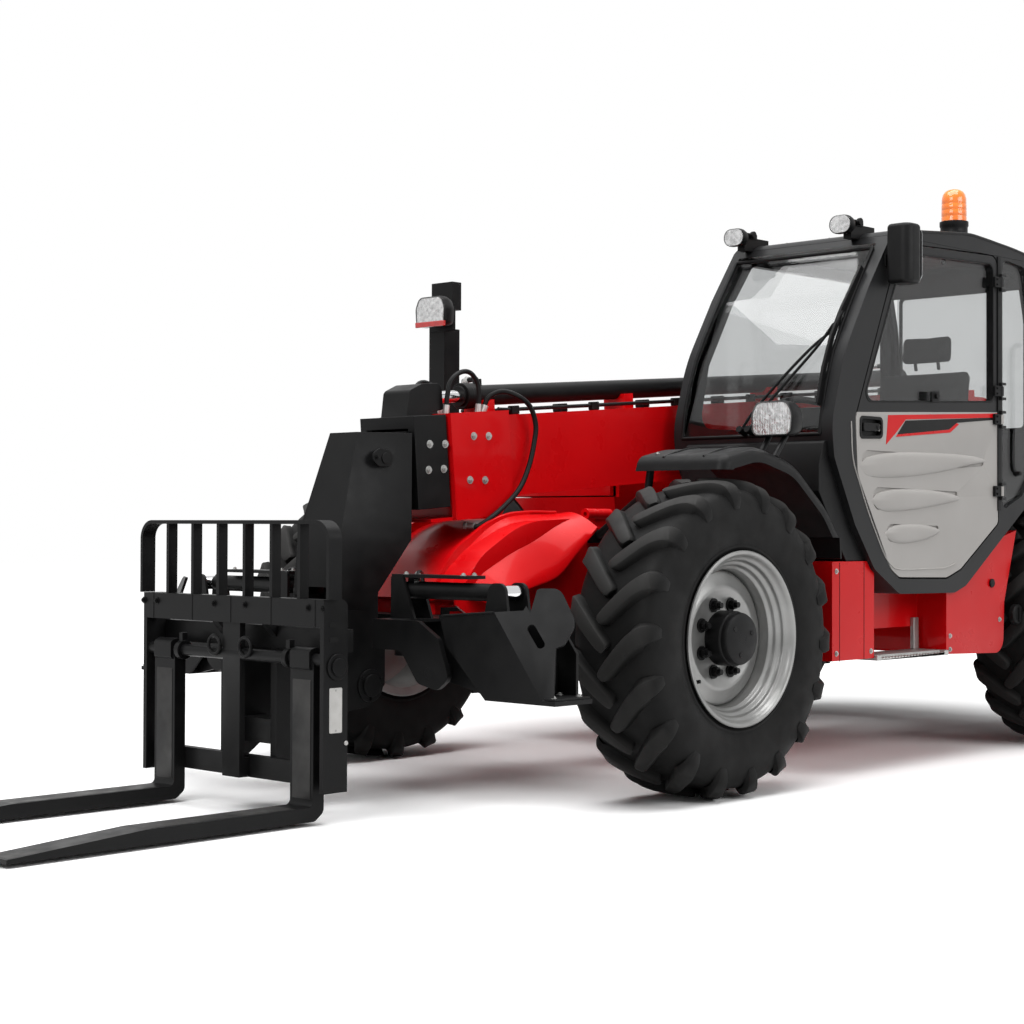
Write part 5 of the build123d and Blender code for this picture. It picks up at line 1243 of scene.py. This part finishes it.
RIB = [(786, 768), (690, 884), (628, 925), (500, 1022), (376, 1079), (230, 1096), (60, 1096)]
SKIN_EDGE = [(640, 735), (575, 768), (549, 781), (420, 812), (292, 850), (180, 940), (60, 1034)]
for side_name, s in SIDES:
    rows = []
    for (x0, z0), (x1, z1) in zip(RIB, SKIN_EDGE):
        low, high = Vector((x1, s * 442, z1)), Vector((x0, s * 224, z0 - 6))
        bulge = Vector((0.35, s * 0.2, 0.9)).normalized()
        rows.append([
            high.lerp(low, t) + bulge * (46 * math.sin(math.pi * t * 0.92) * (1 - t * 0.4))
            for t in (0, 0.15, 0.3, 0.45, 0.6, 0.75, 0.88, 1.0)
        ])
    fine = [smooth_path([row[k] for row in rows], 30, 5) for k in range(8)]
    rings = [[line[i] for line in fine] + [
        line[i] - Vector((0.3, 0, 1)).normalized() * 9 for line in reversed(fine)
    ] for i in range(len(fine[0]))]
    piece(f"nose_skin_{side_name}", Form().rings(rings), "chassis", "red_paint", angle=50)
    crest = Form().pipe([(x + 3, s * 215, z + 3) for x, z in RIB], 7, 12, 24)
    piece(f"nose_rib_crest_{side_name}", crest, "chassis", "red_paint")
    tube = Form().turned([(9, 0), (24, 0), (24, 150), (9, 150)], (-140, s * 330, 1092), AHEAD, 32)
    tube.bar((-130, s * 330, 1092), (-20, s * 330, 1092), 9.5, 20)
    tube.side(rounded([(-120, 1040, 4), (-120, 1080, 4), (-40, 1080, 4), (-40, 1040, 4)]), s * 320, s * 340)
    piece(f"nose_tube_{side_name}", tube, "chassis", "red_paint", bevel=1.5)
    pivot_caps = Form()
    for x, r in ((1129, 34), (1140, 22)):
        pivot_caps.bar((x, s * 600, 515), (x + 11, s * 600, 515), r, 28)
    piece(f"leg_pivot_cap_{side_name}", pivot_caps, "chassis", "black_paint", bevel=2)
    bolts(f"leg_pivot_bolts_{side_name}", [
        (1140, s * y, z) for _, y, z in ring_points((0, 600, 515), 27, (0.5, 2.6, 4.7), 0)
    ], AHEAD, 6, 5, "chassis")
    bolts(
        f"leg_cover_bolts_{side_name}", [(1010 + dx, s * y, 863) for y in (360, 660) for dx in (-28, 28)], UP,
        8, 7, "chassis", "step_metal",
    )
    hose(f"leg_hose_{side_name}", [
        (1010, s * 392, 838), (985, s * 370, 868), (930, s * 330, 860), (880, s * 280, 800),
        (868, s * 220, 720), (868, s * 190, 700),
    ], 8, "chassis")
    edge = Form().bar((1121.5, s * 640, 722), (1121.5, s * 896, 742), 4, 10)
    foot = Form().box(935, 1115, s * 860, s * 1180, 448, 456)
    piece(f"leg_seam_{side_name}", edge, f"leg_{side_name}_body", "black_paint")
    piece(f"leg_foot_pad_{side_name}", foot, f"leg_{side_name}_body", "black_paint", bevel=2)
    bolts(
        f"leg_foot_bolts_{side_name}", [(x, s * y, 456) for x in (960, 1090) for y in (1060, 1150)], UP, 8, 6,
        f"leg_{side_name}_body", "step_metal",
    )
    for end, x in AXLES.items():
        bolts(
            f"kingpin_bolts_{end}_{side_name}", ring_points((x, s * 720, 765), 34, (0.8, 2.4, 3.9, 5.5), 2), UP,
            8, 7, "chassis", "step_metal",
        )
        rod = Form().bar((x - 140, s * 325, 655), (x - 140, s * 600, 652), 13, 20).bar(
            (x - 140, s * 320, 655), (x - 140, s * 345, 655), 20, 24
        )
        rod.bar((x - 140, s * 596, 652), (x - 112, s * 652, 650), 15, 20)
        piece(f"track_rod_{end}_{side_name}", rod, "chassis", "cast_iron", bevel=1.5)
for end, x in AXLES.items():
    cover = Form().turned([
        (0.5, 0), (150, 0), (150, 24), (142, 34), (90, 62), (60, 70), (0.5, 72),
    ], (x + 74, 0, 608), AHEAD, 48)
    piece(f"differential_cover_{end}", cover, "chassis", "cast_iron", bevel=3)
    bolts(
        f"differential_bolts_{end}",
        ring_points((x + 108, 0, 608), 136, [k * math.pi / 6 for k in range(12)], 0), AHEAD, 8, 7, "chassis",
        "step_metal",
    )
shaft = Form().bar((REAR_AXLE + 150, 0, 600), (-160, 0, 600), 32, 28)
for x in (REAR_AXLE + 170, -180, -1500):
    shaft.bar((x - 26, 0, 600), (x + 26, 0, 600), 52, 24)
piece("drive_shaft", shaft, "chassis", "cast_iron", bevel=2)

# ------------------------------------------------------------------ carriage and forks

for side_name, s in SIDES:
    boss = Form()
    for y0, y1, r in ((525, 533, 46), (532, 541, 31)):
        boss.bar((1520, s * y0, 552), (1520, s * y1, 552), r, 32)
    piece(f"carriage_boss_{side_name}", boss, "carriage", "black_paint", bevel=2)
    # slots drawn as thin dark sheets on the side plate in place of openings: painted shade of the holes
    slot_shades = Form()
    for z in (698, 646):
        slot_shades.side(soft_corners(1512, 1556, z - 9, z + 9, 8), s * 525.2, s * 526.4)
    piece(f"carriage_slots_{side_name}", slot_shades, "carriage")
    plate = Form().side(soft_corners(1497, 1554, 324, 480, 5), s * 525.2, s * 527.2)
    piece(f"carriage_plate_{side_name}", plate, "carriage", "step_metal", look=PALE_PLATE)
    bolts(
        f"carriage_plate_rivets_{side_name}", [(1525, s * 527, 332), (1525, s * 527, 472)], (0, s, 0), 3, 2,
        "carriage", "step_metal",
    )
    dot = Form().bar((1478, s * 525, 286), (1478, s * 530, 286), 8, 20)
    piece(f"carriage_plug_{side_name}", dot, "carriage", "step_metal", look=PALE_PLATE, bevel=1)
    bolts(f"backrest_bolts_{side_name}", [(1581, s * y, 756) for y in (520, 440, 90)], AHEAD, 9, 8, "carriage")
    lock = Form().bar((1552, s * 300, 575), (1552, s * 325, 575), 36, 28)
    lock.box(1540, 1564, s * 302, s * 323, 600, 640)
    piece(f"fork_shaft_collar_{side_name}", lock, "carriage", "black_paint", bevel=2)
    eye = ring_points((1578, s * 90, 604), 34, [k * math.pi / 6 for k in range(13)], 0)
    piece(f"carriage_eye_{side_name}", Form().pipe(eye, 7, 10, 8), "carriage", "black_paint")
    # fork tops as a sheet of the pale-patched black: wear and a painted highlight
    worn_highlight_top = Form().side([
        (1640, 64.8), (1660, 66.2), (2240, 65.8), (2770, 30.2), (2774, 26), (2240, 62), (1650, 62),
    ], s * 346, s * 454)
    piece(f"fork_worn_top_{side_name}", worn_highlight_top, "carriage", "black_paint", look=WORN_AND_HIGHLIGHT_BLACK)
    # heel faces in the same black: wear and a painted highlight
    heel = Form().side(rounded([
        (1571.8, 90, 0), (1573.6, 96, 0), (1573.6, 500, 0), (1571.8, 506, 0),
    ]), s * 352, s * 448)
    piece(f"fork_heel_face_{side_name}", heel, "carriage", "black_paint", look=WORN_AND_HIGHLIGHT_BLACK)
rail = Form()
for y in (-470, -230, 0, 230, 470):
    rail.front([(y - 9, 786), (y - 9, 690), (y + 9, 690), (y + 9, 786)], 1580, 1581.6)
piece("carriage_rail_welds", rail, "carriage", "black_paint")
for side_name, s in SIDES:
    hose(f"tilt_hose_{side_name}", [
        (985, s * 70, 1150), (1010, s * 84, 1040), (1030, s * 88, 920), (1046, s * 84, 800),
        (1052, s * 72, 700),
    ], 8, "inner_section", fittings=False)

# ------------------------------------------------------------------ hood, counterweight, guards and roof

# height above everything, mm
ABOVE_ALL = 4000


def top_of(node, x, y, other):
    """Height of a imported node's top over a place, in mm, or the other where the node isn't there."""
    found = NODES[node].ray_cast(at(x, y, ABOVE_ALL), Vector((0, 0, -1)))
    return found[1].z * 1000 if found[0] else other


# engine hood: its outer side and its two ends
COWL_OUT = -1060
COWL_X0, COWL_X1 = CAB_BACK + 370, -860
pulls = Form()
for x in (COWL_X0 + 220, COWL_X1 - 220):
    pulls.box(x - 22, x + 22, COWL_OUT - 9, COWL_OUT - 1, 1190, 1262)
    pulls.box(x - 15, x + 15, COWL_OUT - 17, COWL_OUT - 8, 1196, 1244)
    pulls.bar((x - 24, COWL_OUT - 12, 1252), (x + 24, COWL_OUT - 12, 1252), 6, 14)
piece("hood_latches", pulls, "engine_lid_body", bevel=3)
catches = Form()
for x in (COWL_X0 + 220, COWL_X1 - 220):
    catches.box(x - 17, x + 17, COWL_OUT - 8, COWL_OUT - 1, 1130, 1172)
piece("hood_catches", catches, bevel=3)
panel = Form()
for x0, x1 in ((COWL_X0 + 120, COWL_X0 + 560), (COWL_X0 + 620, COWL_X1 - 120)):
    outline = rounded([(x0, -330, 40), (x1, -330, 40), (x1, -820, 40), (x0, -820, 40)])
    mid = (x0 + x1) / 2
    levels = ((1.0, 1419), (0.985, 1424), (0.96, 1426.5), (0.9, 1427), (0.2, 1427.5))
    panel.rings([[(mid + (x - mid) * k, -575 + (y + 575) * k, z) for x, y in outline] for k, z in levels])
piece("hood_pressings", panel, "engine_lid_body", "red_paint", angle=50)
grip = Form().pipe([
    (COWL_X1 - 300, COWL_OUT + 30, 1285), (COWL_X1 - 300, COWL_OUT - 14, 1285),
    (COWL_X1 - 430, COWL_OUT - 14, 1285), (COWL_X1 - 430, COWL_OUT + 30, 1285),
], 9, 12, 16)
piece("hood_grip", grip, "engine_lid_body")
lx0, lx1 = COWL_X0 + 240, COWL_X1 - 240
frame_out = soft_corners(lx0, lx1, 818, 1124, 24)
frame_in = soft_corners(lx0 + 16, lx1 - 16, 834, 1108, 14)
levels = ((frame_out, 2), (frame_out, -5), (frame_in, -5), (frame_in, 2))
surround = frame_form([(line, COWL_OUT + y) for line, y in levels])
piece("louvre_surround", surround, bevel=1.5)
slats = Form()
for z in range(840, 1110, 42):
    slats.side([
        (lx0 + 24, z + 15), (lx0 + 24, z + 20), (lx1 - 24, z + 20), (lx1 - 24, z + 15),
    ], COWL_OUT - 9, COWL_OUT + 1)
piece("louvre_lips", slats, "chassis", "red_paint", bevel=1.5)
bolts("louvre_screws", [
    (x, COWL_OUT - 5, z) for x in (lx0 + 8, (lx0 + lx1) / 2, lx1 - 8) for z in (826, 1116)
], (0, -1, 0), 5, 3, "chassis", "step_metal")
bolts("cowl_bolts", [
    (x, COWL_OUT, z) for x in (COWL_X0 + 60, COWL_X1 - 70) for z in (780, 1120)
], (0, -1, 0), 9, 7, "chassis", "step_metal")
exhaust = (COWL_X0 - 70, -430, 0)
shield = Form().turned([
    (44.5, 1500), (53, 1500), (53, 1518), (50, 1524), (46, 1524), (44.5, 1518),
], exhaust, UP, 40)
shield.turned([(50.5, 1180), (60, 1180), (60, 1440), (50.5, 1440)], exhaust, UP, 40)
piece("exhaust_shield", shield, "chassis", "step_metal", bevel=1.5)
# rear mudguard's edge: distance from the axle, height
REAR_ARC = [(418, 1287), (250, 1306), (60, 1318), (-120, 1312), (-300, 1285), (-460, 1230), (-630, 1118)]
for side_name, s in SIDES:
    bolts(
        f"counterweight_bolts_{side_name}", [(REAR_X + 1, s * y, z) for y in (180, 600) for z in (660, 1000)],
        (-1, 0, 0), 22, 16, "chassis", "cast_iron",
    )
    reflector = Form().front(soft_corners(s * 560, s * 680, 800, 850, 8), REAR_X - 0.6, REAR_X + 3)
    piece(f"rear_reflector_{side_name}", reflector, "chassis", "lamp_glass", look=RED_LENS)
    arc = [(REAR_AXLE + x, z) for x, z in REAR_ARC]
    edge = Form().pipe([(x, s * 1080, top_of("rear_mudguards", x, s * 1060, z) - 5) for x, z in arc], 9, 12, 20)
    piece(f"rear_guard_bead_{side_name}", edge)
    flap = Form().side(rounded([
        (-748, 1000, 4), (-736, 1000, 4), (-742, 912, 4), (-752, 912, 4),
    ]), s * 660, s * 1066)
    piece(f"front_guard_flap_{side_name}", flap)
    ribs = Form()
    for y in (760, 960):
        line = [
            (x, s * y, top_of("front_mudguards", x, s * y, 1200) + 1)
            for x in (30, -60, -170, -280, -390, -490, -580, -650)
        ]
        ribs.pipe(line, 5, 10, 20)
    piece(f"front_guard_ribs_{side_name}", ribs, "chassis", "black_paint")
    bolts(f"front_guard_bolts_{side_name}", [
        (x, s * 690, top_of("front_mudguards", x, s * 690, 1200)) for x in (-20, -420)
    ], UP, 8, 6, "chassis", "step_metal")
plate = Form().front(soft_corners(260, 520, 760, 900, 12), REAR_X - 0.5, REAR_X + 3)
piece("number_plate_blank", plate, "chassis", "step_metal", look=PALE_PLATE)
roof = Form()
for y in (400, 632, 864):
    line = [(x, y, top_of("cab_roof", x, y, 2330) + 1) for x in range(-1290, -2260, -120)]
    roof.pipe(line, 9, 10, 30)
piece("roof_ribs", roof, "chassis", "black_paint")
gutter = Form()
for y in (219, 1046):
    gutter.pipe([
        (x, y, top_of("cab_roof", x, min(max(y, 222), 1044), 2330) - 4) for x in range(-1200, -2290, -120)
    ], 8, 10, 30)
piece("roof_gutters", gutter)
back_pane = soft_corners(277, 988, 1502, 2198, 30)
back_in = soft_corners(295, 970, 1520, 2180, 20)
levels = ((back_pane, 4), (back_pane, -3), (back_in, -3), (back_in, 12))
rear_seal = Form().rings([[(CAB_BACK + x, y, z) for y, z in line] for line, x in levels], closed=True)
piece("rear_window_seal", rear_seal, bevel=2)
hose("boom_tail_hose_left", boom_path(
    (180, 96, 166), (40, 110, 210), (-120, 96, 190), (-190, 70, 60), (-185, 60, -60),
), 9, "boom", fittings=False)
hose("boom_tail_hose_right", boom_path(
    (180, -70, 166), (40, -84, 214), (-120, -80, 190), (-190, -60, 60), (-185, -50, -60),
), 9, "boom", fittings=False)
cap = Form().turned(
    [(0.5, 0), (46, 0), (46, 22), (40, 28), (0.5, 28)], (REAR_AXLE + 640, 1030, 640), (0, 1, 0), 32,
)
cap.box(REAR_AXLE + 634, REAR_AXLE + 646, 1056, 1066, 606, 674)
piece("tank_cap", cap, bevel=2)
seams = Form()
for x in (-790, -970):
    seams.side([(x, 486), (x, 896), (x + 3, 896), (x + 3, 486)], 1029, 1031)
piece("side_box_seams", seams)
bolts("side_box_bolts", [
    (x, 1030, z) for x, z in ((-765, 520), (-765, 860), (-1020, 520), (-1650, 500), (-1650, 560), (-2080, 620))
], LEFT, 8, 6, "chassis", "step_metal")

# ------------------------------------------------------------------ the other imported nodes

MADE = [f"{part}_{end}_{side_name}" for part in ("tyre", "rim") for end in AXLES for side_name, _ in SIDES]
MADE += ["lamps", "beacon", "seat"]
for node in NODES:
    if node not in MADE:
        dress(node)
